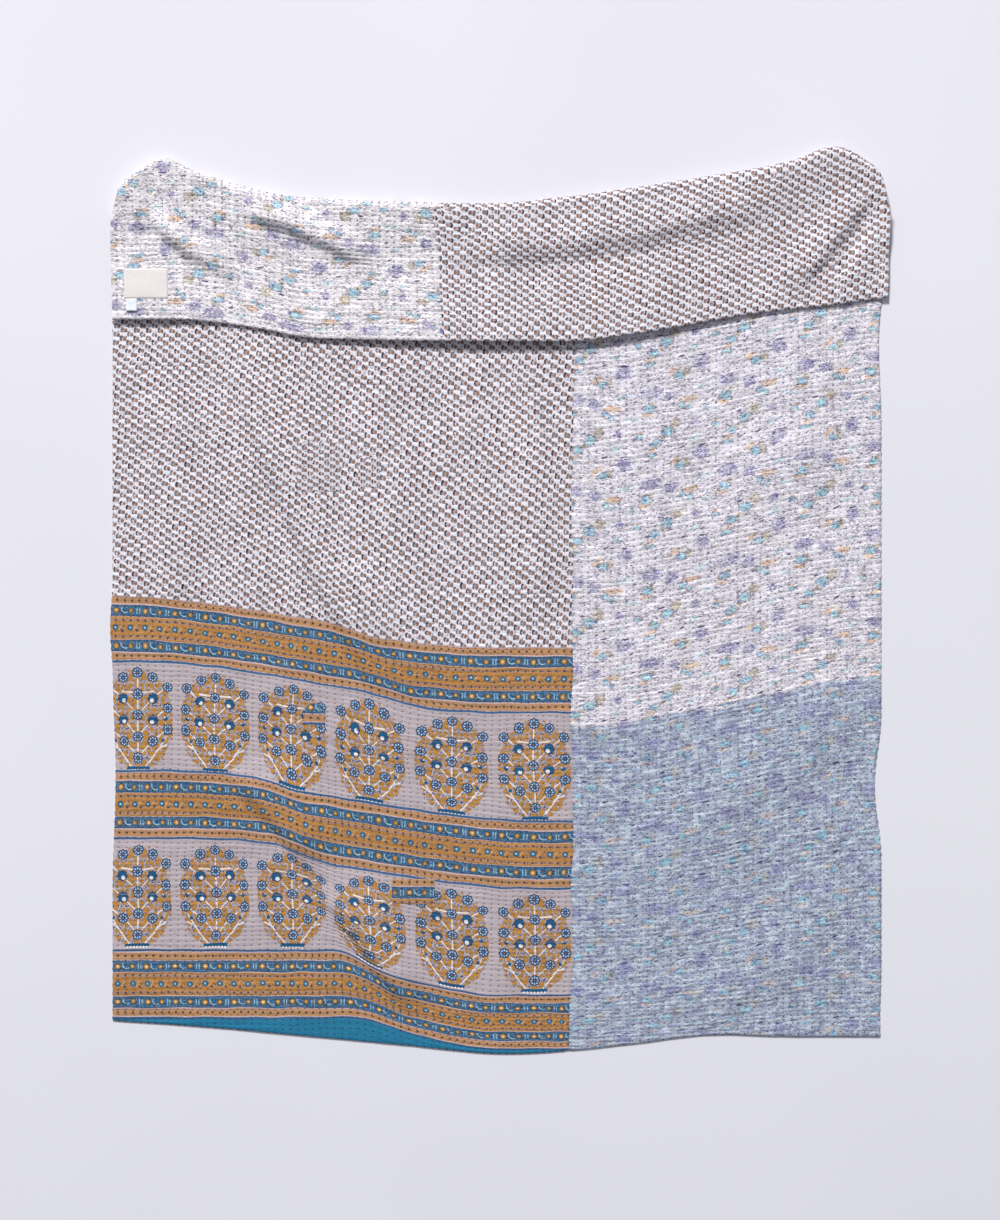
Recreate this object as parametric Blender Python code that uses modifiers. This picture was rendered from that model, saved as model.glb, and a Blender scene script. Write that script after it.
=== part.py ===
"""Kantha quilt laid face up on a flat surface, its top end folded over the face.

The quilt is one stitched sheet. Its section runs from the hem up to a soft fold and
back over the face as a flap, which shows the reverse. Metres, +X to the right across
the quilt, +Y towards the fold, +Z up from the surface that it lies on.
"""

import math
from collections import namedtuple

import bmesh
import bpy

# Driving dimensions.
THICKNESS = 0.004
LEFT_EDGE = -0.637
BODY_RIGHT_EDGE = 0.630
FLAP_RIGHT_EDGE = 0.642
LAYER_GAP = 0.0025
FOLD_HEIGHT = 0.020
FOLD_DEPTH = 0.012
SEWN_GAP = 0.0006

# Divisions of the sheet. Its columns are closer together near the two sides, where
# the corners turn: by this share at the very edge.
ACROSS_CELLS = 44
SIDE_CROWDING = 0.45
BODY_CELLS = 32
FOLD_CELLS = 6
FLAP_CELLS = 10

LABEL_SIZE = (0.071, 0.049)
LABEL_CENTRE = (-0.580, 0.5205)
LABEL_THICKNESS = 0.001
LABEL_CELLS = (8, 5)

CARE_TAG_SIZE = (0.018, 0.0205)
CARE_TAG_CENTRE = (-0.604, 0.4852)
CARE_TAG_THICKNESS = 0.001
CARE_TAG_CELLS = (3, 3)

OutlinePoint = namedtuple("OutlinePoint", "across along")

HEM = (
    OutlinePoint(-0.637, -0.693),
    OutlinePoint(-0.469, -0.705),
    OutlinePoint(-0.327, -0.718),
    OutlinePoint(-0.163, -0.733),
    OutlinePoint(0.015, -0.748),
    OutlinePoint(0.116, -0.743),
    OutlinePoint(0.208, -0.733),
    OutlinePoint(0.370, -0.716),
    OutlinePoint(0.459, -0.719),
    OutlinePoint(0.630, -0.720),
)

FOLD_LINE = (
    OutlinePoint(-0.637, 0.640),
    OutlinePoint(-0.626, 0.678),
    OutlinePoint(-0.595, 0.706),
    OutlinePoint(-0.553, 0.728),
    OutlinePoint(-0.490, 0.702),
    OutlinePoint(-0.363, 0.668),
    OutlinePoint(-0.221, 0.658),
    OutlinePoint(-0.031, 0.653),
    OutlinePoint(0.101, 0.663),
    OutlinePoint(0.279, 0.688),
    OutlinePoint(0.477, 0.722),
    OutlinePoint(0.553, 0.747),
    OutlinePoint(0.605, 0.724),
    OutlinePoint(0.632, 0.694),
    OutlinePoint(0.642, 0.650),
)

FLAP_EDGE = (
    OutlinePoint(-0.637, 0.461),
    OutlinePoint(-0.516, 0.461),
    OutlinePoint(-0.447, 0.4545),
    OutlinePoint(-0.376, 0.443),
    OutlinePoint(-0.326, 0.433),
    OutlinePoint(-0.2755, 0.4295),
    OutlinePoint(-0.100, 0.4257),
    OutlinePoint(0.100, 0.425),
    OutlinePoint(0.234, 0.439),
    OutlinePoint(0.411, 0.470),
    OutlinePoint(0.543, 0.485),
    OutlinePoint(0.642, 0.498),
)

# Shallow waves of the two long edges: where, over what half length, how far in.
EdgeWave = namedtuple("EdgeWave", "side along half_length depth")
EDGE_WAVES = (
    EdgeWave("left", -0.046, 0.080, -0.004),
    EdgeWave("left", -0.290, 0.190, 0.005),
    EdgeWave("left", 0.560, 0.100, -0.002),
    EdgeWave("right", 0.420, 0.130, 0.004),
    EdgeWave("right", -0.305, 0.120, 0.011),
    EdgeWave("right", -0.690, 0.080, 0.002),
)
EDGE_WAVE_FADE = 0.110

# Soft ridges of the cloth. Each runs from start to end, bowed sideways, rises on its
# near side over a short width and falls away slowly on its far side. The far side is
# on the right of someone who walks from start to end when the widths are positive.
Crease = namedtuple(
    "Crease", "name start_x start_y end_x end_y bow height near_width far_width"
)
BODY_CREASES = (
    Crease("long drag", -0.165, -0.190, -0.450, 0.440, -0.020, 0.013, 0.028, 0.130),
    Crease("left edge roll", -0.520, -0.060, -0.575, 0.400, 0.012, 0.006, 0.050, 0.060),
    Crease("border drag", -0.300, -0.450, -0.450, -0.275, 0.010, 0.011, 0.026, 0.080),
    Crease("hem drag", -0.130, -0.690, -0.300, -0.460, 0.006, 0.012, 0.028, 0.090),
    Crease("seam swell", 0.060, -0.060, 0.050, 0.330, 0.010, 0.005, 0.060, 0.050),
    Crease("right rise", 0.270, -0.420, 0.600, -0.100, 0.020, 0.006, 0.090, 0.090),
    Crease("right swell", 0.330, 0.050, 0.560, 0.330, -0.020, 0.005, 0.090, 0.090),
    Crease("low right swell", 0.300, -0.690, 0.590, -0.480, 0.015, 0.005, 0.080, 0.080),
)
FLAP_CREASES = (
    Crease("left pleat", -0.490, 0.545, -0.585, 0.640, 0.004, 0.008, 0.018, 0.030),
    Crease("outer pleat", -0.585, 0.600, -0.622, 0.690, 0.003, 0.006, 0.018, 0.020),
    Crease("left diagonal", -0.200, 0.545, -0.440, 0.645, 0.010, 0.013, 0.019, 0.045),
    Crease("left dip", -0.575, 0.630, -0.430, 0.530, 0.004, 0.008, 0.050, 0.022),
    Crease("middle swell", 0.500, 0.680, -0.140, 0.575, -0.030, 0.009, 0.040, 0.060),
    Crease("right drag", 0.470, 0.500, 0.620, 0.690, 0.004, 0.009, 0.060, 0.024),
    Crease("edge drag", 0.545, 0.490, 0.645, 0.640, 0.000, 0.006, 0.022, 0.050),
)


# Where the flap's free edge stands off the face: around where, how far to each side
# and how high.
StandOff = namedtuple("StandOff", "across half_width height")
FLAP_STAND_OFFS = (
    StandOff(0.030, 0.520, 0.010),
    StandOff(-0.570, 0.130, 0.005),
)


def eased(share):
    """Go smoothly from 0 to 1 as share does, and stay there outside."""
    share = min(1.0, max(0.0, share))
    return share * share * (3.0 - 2.0 * share)


def hump(distance, half_width):
    """One rounded hump: 1 at no distance, 0 from the half width on."""
    if abs(distance) >= half_width:
        return 0.0
    return 0.5 + 0.5 * math.cos(math.pi * distance / half_width)


def along_outline(points, across):
    """Where a smooth curve through the outline's points lies at a place across it."""
    index = 1
    while index < len(points) - 1 and across > points[index].across:
        index += 1
    start = points[index - 1]
    end = points[index]
    span = end.across - start.across
    share = min(1.0, max(0.0, (across - start.across) / span))
    start_slope = slope_at(points, index - 1) * span
    end_slope = slope_at(points, index) * span
    square = share * share
    cube = square * share
    return (
        (2 * cube - 3 * square + 1) * start.along
        + (cube - 2 * square + share) * start_slope
        + (3 * square - 2 * cube) * end.along
        + (cube - square) * end_slope
    )


def slope_at(points, index):
    """The outline's slope at one of its points, level at a peak."""
    before = points[max(0, index - 1)]
    after = points[min(len(points) - 1, index + 1)]
    here = points[index]
    if (here.along - before.along) * (after.along - here.along) < 0.0:
        return 0.0
    return (after.along - before.along) / (after.across - before.across)


def edge_shift(across, along):
    """How far the waves of the long edges move a point sideways."""
    shift = 0.0
    for wave in EDGE_WAVES:
        if wave.side == "left":
            from_edge = across - LEFT_EDGE
            inward = 1.0
        else:
            from_edge = FLAP_RIGHT_EDGE - across
            inward = -1.0
        reach = hump(from_edge, EDGE_WAVE_FADE)
        shift += inward * wave.depth * reach * hump(along - wave.along, wave.half_length)
    return shift


def crease_height(crease, across, along):
    """How far one crease lifts the cloth at a point."""
    run_x = crease.end_x - crease.start_x
    run_y = crease.end_y - crease.start_y
    length = math.hypot(run_x, run_y)
    from_x = across - crease.start_x
    from_y = along - crease.start_y
    share = (from_x * run_x + from_y * run_y) / length**2
    if share <= 0.0 or share >= 1.0:
        return 0.0
    right_of = (from_x * run_y - from_y * run_x) / length
    offset = right_of - crease.bow * 4.0 * share * (1.0 - share)
    width = crease.far_width if offset > 0.0 else crease.near_width
    fade = eased(share / 0.3) * eased((1.0 - share) / 0.3)
    return crease.height * fade * hump(offset, width)


def lift(creases, across, along):
    """The height that a group of creases gives a point."""
    return sum(crease_height(crease, across, along) for crease in creases)


def body_lift(across, along):
    """How far the face's layer stands off the surface below it."""
    return lift(BODY_CREASES, across, along)


def flap_top(across, along):
    """Height of the flap's upper side, which is the quilt's reverse."""
    fold = along_outline(FOLD_LINE, across)
    edge = along_outline(FLAP_EDGE, across)
    depth = max(0.0, min(1.0, (fold - along) / (fold - edge)))
    lying = 2.0 * THICKNESS + LAYER_GAP
    from_fold = (FOLD_HEIGHT - lying) * (1.0 - eased(depth / 0.55))
    stand_off = sum(
        place.height * hump(across - place.across, place.half_width)
        for place in FLAP_STAND_OFFS
    )
    return (
        lying
        + from_fold
        + stand_off * eased((depth - 0.25) / 0.75)
        + body_lift(across, along)
        + lift(FLAP_CREASES, across, along)
    )


def column_across(across_share):
    """Where a column of the sheet stands, closer to its neighbour near the sides."""
    turn = 2.0 * math.pi * across_share
    crowded = across_share - SIDE_CROWDING * math.sin(turn) / (2.0 * math.pi)
    return LEFT_EDGE + (FLAP_RIGHT_EDGE - LEFT_EDGE) * crowded


def body_point(across_share, length_share):
    """A point of the reverse under the face, from the hem to where the fold starts."""
    across = column_across(across_share)
    hem = along_outline(HEM, min(across, HEM[-1].across))
    fold = along_outline(FOLD_LINE, across) - FOLD_DEPTH
    along = hem + (fold - hem) * length_share
    near_right = max(0.0, 1.0 - (FLAP_RIGHT_EDGE - across) / EDGE_WAVE_FADE)
    narrowing = (FLAP_RIGHT_EDGE - BODY_RIGHT_EDGE) * eased(near_right)
    narrowing *= 1.0 - eased((length_share - 0.85) / 0.15)
    across += edge_shift(across, along) - narrowing
    return (across, along, body_lift(across, along))


def fold_point(across_share, turn_share):
    """A point on the outside of the fold, from the surface up to the flap."""
    across = column_across(across_share)
    centre = along_outline(FOLD_LINE, across) - FOLD_DEPTH
    across += edge_shift(across, centre)
    angle = math.pi * turn_share
    along = centre + FOLD_DEPTH * math.sin(angle)
    top = flap_top(across, centre)
    return (across, along, 0.5 * top * (1.0 - math.cos(angle)))


def flap_point(across_share, depth_share):
    """A point on the flap's upper side, from the fold to the flap's free edge."""
    across = column_across(across_share)
    fold = along_outline(FOLD_LINE, across) - FOLD_DEPTH
    edge = along_outline(FLAP_EDGE, across)
    along = fold + (edge - fold) * depth_share
    across += edge_shift(across, along)
    return (across, along, flap_top(across, along))


def sheet_point(across_share, row):
    """A point of the whole sheet by its share across and its row along."""
    if row <= BODY_CELLS:
        return body_point(across_share, row / BODY_CELLS)
    row -= BODY_CELLS
    if row <= FOLD_CELLS:
        return fold_point(across_share, row / FOLD_CELLS)
    row -= FOLD_CELLS
    return flap_point(across_share, row / FLAP_CELLS)


def principled(name, colour, roughness):
    """A plain cloth material."""
    material = bpy.data.materials.new(name)
    material.use_nodes = True
    shader = material.node_tree.nodes["Principled BSDF"]
    shader.inputs["Base Color"].default_value = (*colour, 1.0)
    shader.inputs["Roughness"].default_value = roughness
    shader.inputs["Metallic"].default_value = 0.0
    return material


def grid_object(name, cells, place, thickness, collection, material):
    """Lay a grid by a function of its shares and give it a thickness downwards.

    The grid is the piece's outer side, and Solidify fills away from its normals.
    """
    mesh = bpy.data.meshes.new(name)
    shape = bmesh.new()
    bmesh.ops.create_grid(shape, x_segments=cells[0], y_segments=cells[1], size=1.0)
    for vertex in shape.verts:
        vertex.co = place(0.5 + 0.5 * vertex.co.x, 0.5 + 0.5 * vertex.co.y)
    shape.to_mesh(mesh)
    shape.free()
    piece = bpy.data.objects.new(name, mesh)
    collection.objects.link(piece)
    mesh.materials.append(material)
    solid = piece.modifiers.new("Thickness", "SOLIDIFY")
    solid.thickness = thickness
    solid.offset = -1.0
    solid.use_even_offset = False
    return piece


def make_quilt(collection):
    """The stitched sheet: body, fold and flap in one."""
    rows = BODY_CELLS + FOLD_CELLS + FLAP_CELLS
    material = principled("quilt_cotton", (0.62, 0.60, 0.66), 0.85)

    def place(across_share, row_share):
        return sheet_point(1.0 - across_share, round(row_share * rows))

    return grid_object(
        "quilt", (ACROSS_CELLS, rows), place, THICKNESS, collection, material
    )


def make_sewn_piece(name, size, centre, thickness, cells, collection, material):
    """A small cloth rectangle that lies on the flap, following its slope."""

    def place(across_share, along_share):
        across = centre[0] + size[0] * (across_share - 0.5)
        along = centre[1] + size[1] * (along_share - 0.5)
        return (across, along, flap_top(across, along) + SEWN_GAP + thickness)

    return grid_object(name, cells, place, thickness, collection, material)


def main():
    """Clear the scene and build the quilt and what is sewn on it."""
    for old in list(bpy.data.objects):
        bpy.data.objects.remove(old, do_unlink=True)
    collection = bpy.data.collections.new("kantha_quilt")
    bpy.context.scene.collection.children.link(collection)
    make_quilt(collection)
    cotton_tape = principled("label_cotton", (0.88, 0.86, 0.82), 0.8)
    make_sewn_piece(
        "label",
        LABEL_SIZE,
        LABEL_CENTRE,
        LABEL_THICKNESS,
        LABEL_CELLS,
        collection,
        cotton_tape,
    )
    satin_tape = principled("care_tag_satin", (0.92, 0.92, 0.93), 0.5)
    make_sewn_piece(
        "care_tag",
        CARE_TAG_SIZE,
        CARE_TAG_CENTRE,
        CARE_TAG_THICKNESS,
        CARE_TAG_CELLS,
        collection,
        satin_tape,
    )


main()
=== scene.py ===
"""The looks of a kantha quilt, laid face up with its top end folded over the face.

The quilt is two face panels and two reverse panels of printed cotton, held together by
rows of running stitch that pucker them. Lengths are in metres unless a name says
otherwise. +X runs across the quilt, +Y along it towards the fold, +Z up.
"""

from __future__ import annotations

import logging
import math
from dataclasses import dataclass
from enum import Enum

import bpy
import numpy as np
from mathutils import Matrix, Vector


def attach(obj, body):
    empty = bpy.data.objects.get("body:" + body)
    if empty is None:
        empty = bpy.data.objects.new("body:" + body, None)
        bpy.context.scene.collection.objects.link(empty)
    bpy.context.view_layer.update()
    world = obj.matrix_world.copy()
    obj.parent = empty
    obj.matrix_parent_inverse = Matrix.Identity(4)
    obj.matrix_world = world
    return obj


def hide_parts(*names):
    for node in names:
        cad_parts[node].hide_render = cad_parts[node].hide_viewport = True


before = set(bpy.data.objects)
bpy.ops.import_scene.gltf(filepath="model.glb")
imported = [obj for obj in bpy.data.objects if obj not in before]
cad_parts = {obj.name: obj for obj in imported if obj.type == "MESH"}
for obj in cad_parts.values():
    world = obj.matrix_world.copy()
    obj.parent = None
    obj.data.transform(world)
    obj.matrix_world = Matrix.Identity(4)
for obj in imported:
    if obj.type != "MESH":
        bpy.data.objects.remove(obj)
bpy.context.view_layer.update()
LOG = logging.getLogger("quilt")
BODY = "root"
MM = 0.001

Array = np.ndarray
Point = tuple[float, float]
Colour = tuple[float, float, float]


# ---------------------------------------------------------------------------
# The quilt's form: the folded sheet that the solid also follows.
# ---------------------------------------------------------------------------


def eased(share: Array) -> Array:
    """Go smoothly from 0 to 1 as a share does, and stay there outside."""
    share = np.clip(share, 0.0, 1.0)
    return share * share * (3.0 - 2.0 * share)


def hump(distance: Array, half_width: Array | float) -> Array:
    """One rounded hump: 1 at no distance, 0 from the half width on."""
    near = np.minimum(np.abs(distance) / half_width, 1.0)
    return 0.5 + 0.5 * np.cos(math.pi * near)


@dataclass(frozen=True)
class Outline:
    """A smooth curve from side to side of the quilt.

    Args:
        points: Places across the quilt with how far along it the curve lies there.
    """

    points: tuple[Point, ...]

    def slopes(self) -> Array:
        """The curve's slope at each of its points, level at a peak."""
        across, along = np.array(self.points).T
        before = np.r_[0, np.arange(len(across) - 1)]
        after = np.r_[np.arange(1, len(across)), len(across) - 1]
        slope = (along[after] - along[before]) / (across[after] - across[before])
        peak = (along - along[before]) * (along[after] - along) < 0.0
        return np.where(peak, 0.0, slope)

    def at(self, across: Array) -> Array:
        """How far along the quilt the curve lies.

        Args:
            across: Places across the quilt.

        Returns:
            The curve's place along the quilt at each of them.
        """
        places, along = np.array(self.points).T
        slopes = self.slopes()
        end = np.clip(np.searchsorted(places, across), 1, len(places) - 1)
        start = end - 1
        span = places[end] - places[start]
        share = np.clip((across - places[start]) / span, 0.0, 1.0)
        square, cube = share**2, share**3
        return (
            (2 * cube - 3 * square + 1) * along[start]
            + (cube - 2 * square + share) * slopes[start] * span
            + (3 * square - 2 * cube) * along[end]
            + (cube - square) * slopes[end] * span
        )


@dataclass(frozen=True)
class EdgeWave:
    """A shallow wave of one of the quilt's long edges or seams.

    Args:
        across: Where the edge lies across the quilt.
        along: Where the wave is along it.
        half_length: How far the wave reaches along the edge, each way.
        shift: How far the edge moves to the right there.
        reach: How far into the cloth the shift fades out.
    """

    across: float
    along: float
    half_length: float
    shift: float
    reach: float = 0.110

    def at(self, across: Array, along: Array) -> Array:
        """The sideways shift of points of the cloth."""
        near = hump(across - self.across, self.reach)
        return self.shift * near * hump(along - self.along, self.half_length)


@dataclass(frozen=True)
class Crease:
    """A soft ridge that rises over a short width and falls away slowly.

    Args:
        name: What the crease is.
        start: One end, across and along.
        end: The other end.
        bow: How far its middle stands to the right of the straight line.
        height: How far it lifts the cloth.
        near_width: How wide it is on the left of someone who walks along it.
        far_width: How wide it is on their right.
    """

    name: str
    start: Point
    end: Point
    bow: float
    height: float
    near_width: float
    far_width: float

    def lift(self, across: Array, along: Array) -> Array:
        """How far the crease lifts points of the cloth."""
        run_x = self.end[0] - self.start[0]
        run_y = self.end[1] - self.start[1]
        length = math.hypot(run_x, run_y)
        from_x = across - self.start[0]
        from_y = along - self.start[1]
        share = (from_x * run_x + from_y * run_y) / length**2
        right_of = (from_x * run_y - from_y * run_x) / length
        offset = right_of - self.bow * 4.0 * share * (1.0 - share)
        width = np.where(offset > 0.0, self.far_width, self.near_width)
        fade = eased(share / 0.3) * eased((1.0 - share) / 0.3)
        return self.height * fade * hump(offset, width)


class Zone(Enum):
    """The stretches of the folded sheet, from the hem to the flap's free edge."""

    BODY = "body"
    FOLD = "fold"
    FLAP = "flap"


@dataclass(frozen=True)
class QuiltForm:
    """The quilt's folded sheet, as its reverse side lies in space."""

    thickness: float = 0.004
    left: float = -0.637
    body_right: float = 0.630
    flap_right: float = 0.642
    layer_gap: float = 0.0025
    fold_height: float = 0.020
    fold_depth: float = 0.012
    hem: Outline = Outline(
        (
            (-0.637, -0.693),
            (-0.469, -0.705),
            (-0.327, -0.718),
            (-0.163, -0.733),
            (0.015, -0.748),
            (0.116, -0.743),
            (0.208, -0.733),
            (0.370, -0.716),
            (0.459, -0.719),
            (0.630, -0.720),
        )
    )
    fold_line: Outline = Outline(
        (
            (-0.637, 0.640),
            (-0.626, 0.678),
            (-0.595, 0.706),
            (-0.553, 0.728),
            (-0.490, 0.702),
            (-0.363, 0.668),
            (-0.221, 0.658),
            (-0.031, 0.653),
            (0.101, 0.663),
            (0.279, 0.688),
            (0.477, 0.722),
            (0.553, 0.747),
            (0.605, 0.724),
            (0.632, 0.694),
            (0.642, 0.650),
        )
    )
    flap_edge: Outline = Outline(
        (
            (-0.637, 0.461),
            (-0.516, 0.461),
            (-0.447, 0.4545),
            (-0.376, 0.443),
            (-0.326, 0.433),
            (-0.2755, 0.4295),
            (-0.100, 0.4257),
            (0.100, 0.425),
            (0.234, 0.439),
            (0.411, 0.470),
            (0.543, 0.485),
            (0.642, 0.498),
        )
    )
    edge_waves: tuple[EdgeWave, ...] = (
        EdgeWave(-0.637, -0.046, 0.080, -0.004),
        EdgeWave(-0.637, -0.290, 0.190, 0.005),
        EdgeWave(-0.637, 0.560, 0.100, -0.002),
        EdgeWave(0.642, 0.420, 0.130, -0.004),
        EdgeWave(0.642, -0.305, 0.120, -0.011),
        EdgeWave(0.642, -0.690, 0.080, -0.002),
    )
    body_creases: tuple[Crease, ...] = (
        Crease("long drag", (-0.165, -0.190), (-0.450, 0.440), -0.020, 0.013, 0.028, 0.130),
        Crease("left roll", (-0.520, -0.060), (-0.575, 0.400), 0.012, 0.006, 0.050, 0.060),
        Crease("border drag", (-0.300, -0.450), (-0.450, -0.275), 0.010, 0.011, 0.026, 0.080),
        Crease("hem drag", (-0.130, -0.690), (-0.300, -0.460), 0.006, 0.012, 0.028, 0.090),
        Crease("seam swell", (0.060, -0.060), (0.050, 0.330), 0.010, 0.005, 0.060, 0.050),
        Crease("right rise", (0.270, -0.420), (0.600, -0.100), 0.020, 0.006, 0.090, 0.090),
        Crease("right swell", (0.330, 0.050), (0.560, 0.330), -0.020, 0.005, 0.090, 0.090),
        Crease("low swell", (0.300, -0.690), (0.590, -0.480), 0.015, 0.005, 0.080, 0.080),
    )
    flap_creases: tuple[Crease, ...] = (
        Crease("left pleat", (-0.490, 0.545), (-0.585, 0.640), 0.004, 0.008, 0.018, 0.030),
        Crease("outer pleat", (-0.585, 0.600), (-0.622, 0.690), 0.003, 0.006, 0.018, 0.020),
        Crease("diagonal", (-0.200, 0.545), (-0.440, 0.645), 0.010, 0.013, 0.019, 0.045),
        Crease("left dip", (-0.575, 0.630), (-0.430, 0.530), 0.004, 0.008, 0.050, 0.022),
        Crease("middle swell", (0.500, 0.680), (-0.140, 0.575), -0.030, 0.009, 0.040, 0.060),
        Crease("right drag", (0.470, 0.500), (0.620, 0.690), 0.004, 0.009, 0.060, 0.024),
        Crease("edge drag", (0.545, 0.490), (0.645, 0.640), 0.000, 0.006, 0.022, 0.050),
    )
    stand_offs: tuple[tuple[float, float, float], ...] = (
        (0.030, 0.520, 0.010),
        (-0.570, 0.130, 0.005),
    )

    def body_lift(self, across: Array, along: Array) -> Array:
        """How far the body stands off the surface below it."""
        return sum(crease.lift(across, along) for crease in self.body_creases)

    def edge_shift(self, across: Array, along: Array) -> Array:
        """How far the waves of the long edges move points sideways."""
        return sum(wave.at(across, along) for wave in self.edge_waves)

    def flap_top(self, across: Array, along: Array) -> Array:
        """Height of the flap's upper side, which is the quilt's reverse."""
        fold = self.fold_line.at(across)
        depth = np.clip((fold - along) / (fold - self.flap_edge.at(across)), 0.0, 1.0)
        lying = 2.0 * self.thickness + self.layer_gap
        from_fold = (self.fold_height - lying) * (1.0 - eased(depth / 0.55))
        stand_off = sum(
            height * hump(across - place, half_width)
            for place, half_width, height in self.stand_offs
        )
        creases = sum(crease.lift(across, along) for crease in self.flap_creases)
        return (
            lying
            + from_fold
            + stand_off * eased((depth - 0.25) / 0.75)
            + self.body_lift(across, along)
            + creases
        )

    def fold_centre(self, across: Array) -> Array:
        """Where along the quilt the fold starts to turn."""
        return self.fold_line.at(across) - self.fold_depth

    def points(self, zone: Zone, across: Array, value: Array) -> Array:
        """Points of the reverse side.

        Args:
            zone: The stretch of the sheet that they are on.
            across: Their places across the quilt, before its edges wave.
            value: Their places along the quilt, or shares of the turn in the fold.

        Returns:
            An array with x, y and z last.
        """
        if zone is Zone.FOLD:
            centre = self.fold_centre(across)
            angle = math.pi * value
            along = centre + self.fold_depth * np.sin(angle)
            height = 0.5 * self.flap_top(across, centre) * (1.0 - np.cos(angle))
            shifted = across + self.edge_shift(across, centre)
            return np.stack([shifted, along, height], axis=-1)
        shifted = across + self.edge_shift(across, value)
        if zone is Zone.FLAP:
            return np.stack([shifted, value, self.flap_top(across, value)], axis=-1)
        hem = self.hem.at(np.minimum(across, self.body_right))
        share = (value - hem) / (self.fold_centre(across) - hem)
        near_right = 1.0 - (self.flap_right - across) / 0.110
        narrowing = (self.flap_right - self.body_right) * eased(near_right)
        shifted = shifted - narrowing * (1.0 - eased((share - 0.85) / 0.15))
        return np.stack([shifted, value, self.body_lift(across, value)], axis=-1)


@dataclass(frozen=True)
class WeftLine:
    """A thread that was straight in the loom, as it lies in the sagging quilt.

    Args:
        name: What is printed there.
        along: Its distance from the last border band's foot.
        droop: How far it sinks from the left edge to the face's seam.
        start: Where across the quilt it starts to sink.
        stop: Where it has sunk.
        fold_at: Where a fold takes up some cloth.
        fold_drop: How far it drops there.
        fold_width: Over what width.
        rise: How far it climbs from the seam to the right edge.
    """

    name: str
    along: float
    droop: float
    start: float
    stop: float
    fold_at: float
    fold_drop: float
    fold_width: float
    rise: float


@dataclass(frozen=True)
class Weave:
    """The cloth's own threads, which sag from the two upper corners."""

    left_height: float = -0.691
    seam: float = 0.122
    right: float = 0.632
    lines: tuple[WeftLine, ...] = (
        WeftLine("below the hem", -0.040, 0.034, -0.23, 0.00, -0.19, 0.016, 0.12, 0.020),
        WeftLine("last band", 0.000, 0.035, -0.23, 0.00, -0.19, 0.016, 0.12, 0.024),
        WeftLine("third border", 0.1135, 0.047, -0.28, 0.00, -0.22, 0.027, 0.11, 0.045),
        WeftLine("second border's foot", 0.297, 0.060, -0.50, 0.07, -0.32, 0.023, 0.11, 0.062),
        WeftLine("second border", 0.4105, 0.070, -0.56, 0.08, -0.37, 0.013, 0.08, 0.074),
        WeftLine("first border's foot", 0.589, 0.071, -0.60, 0.00, -0.17, 0.013, 0.11, 0.080),
        WeftLine("first border", 0.699, 0.073, -0.66, 0.00, -0.24, 0.013, 0.08, 0.080),
        WeftLine("under the flap", 1.160, 0.030, -0.60, 0.05, -0.42, 0.004, 0.10, 0.070),
        WeftLine("fold", 1.400, 0.012, -0.60, 0.05, -0.42, 0.000, 0.10, 0.040),
    )

    def height(self, across: Array, along_cloth: Array) -> Array:
        """Where a thread lies along the quilt.

        Args:
            across: Places across the quilt.
            along_cloth: The thread's distance from the last border band's foot.

        Returns:
            Its place along the laid quilt.
        """
        table = np.array([[getattr(line, name) for name in self.columns()] for line in self.lines])
        values = [np.interp(along_cloth, table[:, 0], column) for column in table.T[1:]]
        droop, start, stop, fold_at, fold_drop, fold_width, rise = values
        sunk = droop * eased((across - start) / (stop - start))
        folded = fold_drop * eased((across - fold_at) / fold_width + 0.5)
        climbed = rise * eased((across - self.seam) / (self.right - self.seam) * 0.95)
        return self.left_height + along_cloth - sunk - folded + climbed

    @staticmethod
    def columns() -> list[str]:
        """The sizes of a weft line that change along the quilt."""
        return ["along", "droop", "start", "stop", "fold_at", "fold_drop", "fold_width", "rise"]

    def distance(self, across: Array, along: Array) -> Array:
        """Which thread lies at places on the quilt, column by column.

        Args:
            across: One place across for each column.
            along: Places along the quilt, a row of them for each column.

        Returns:
            The threads' distances from the last border band's foot.
        """
        samples = np.linspace(-0.08, 1.60, 400)
        found = np.empty_like(along)
        for index, place in enumerate(across):
            heights = self.height(np.full_like(samples, place), samples)
            found[index] = np.interp(along[index], heights, samples)
        return found


@dataclass(frozen=True)
class Ripple:
    """Gentle unevenness: a sum of waves with seeded directions.

    Args:
        seed: Seed of the waves.
        across_length: Shortest wave across the quilt.
        along_length: Shortest wave along it.
        waves: How many waves are added.
    """

    seed: int
    across_length: float
    along_length: float
    waves: int = 9

    def at(self, across: Array, along: Array) -> Array:
        """The unevenness at points, mostly between -1 and 1."""
        random = np.random.default_rng(self.seed)
        total = np.zeros(np.broadcast(across, along).shape)
        for _ in range(self.waves):
            turn = random.uniform(0.0, 2.0 * math.pi)
            phase = random.uniform(0.0, 2.0 * math.pi)
            stretch = random.uniform(1.0, 2.2)
            run = across * math.cos(turn) / self.across_length
            climb = along * math.sin(turn) / self.along_length
            total += np.sin(2.0 * math.pi * (run + climb) / stretch + phase)
        return total / math.sqrt(self.waves)


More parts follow.
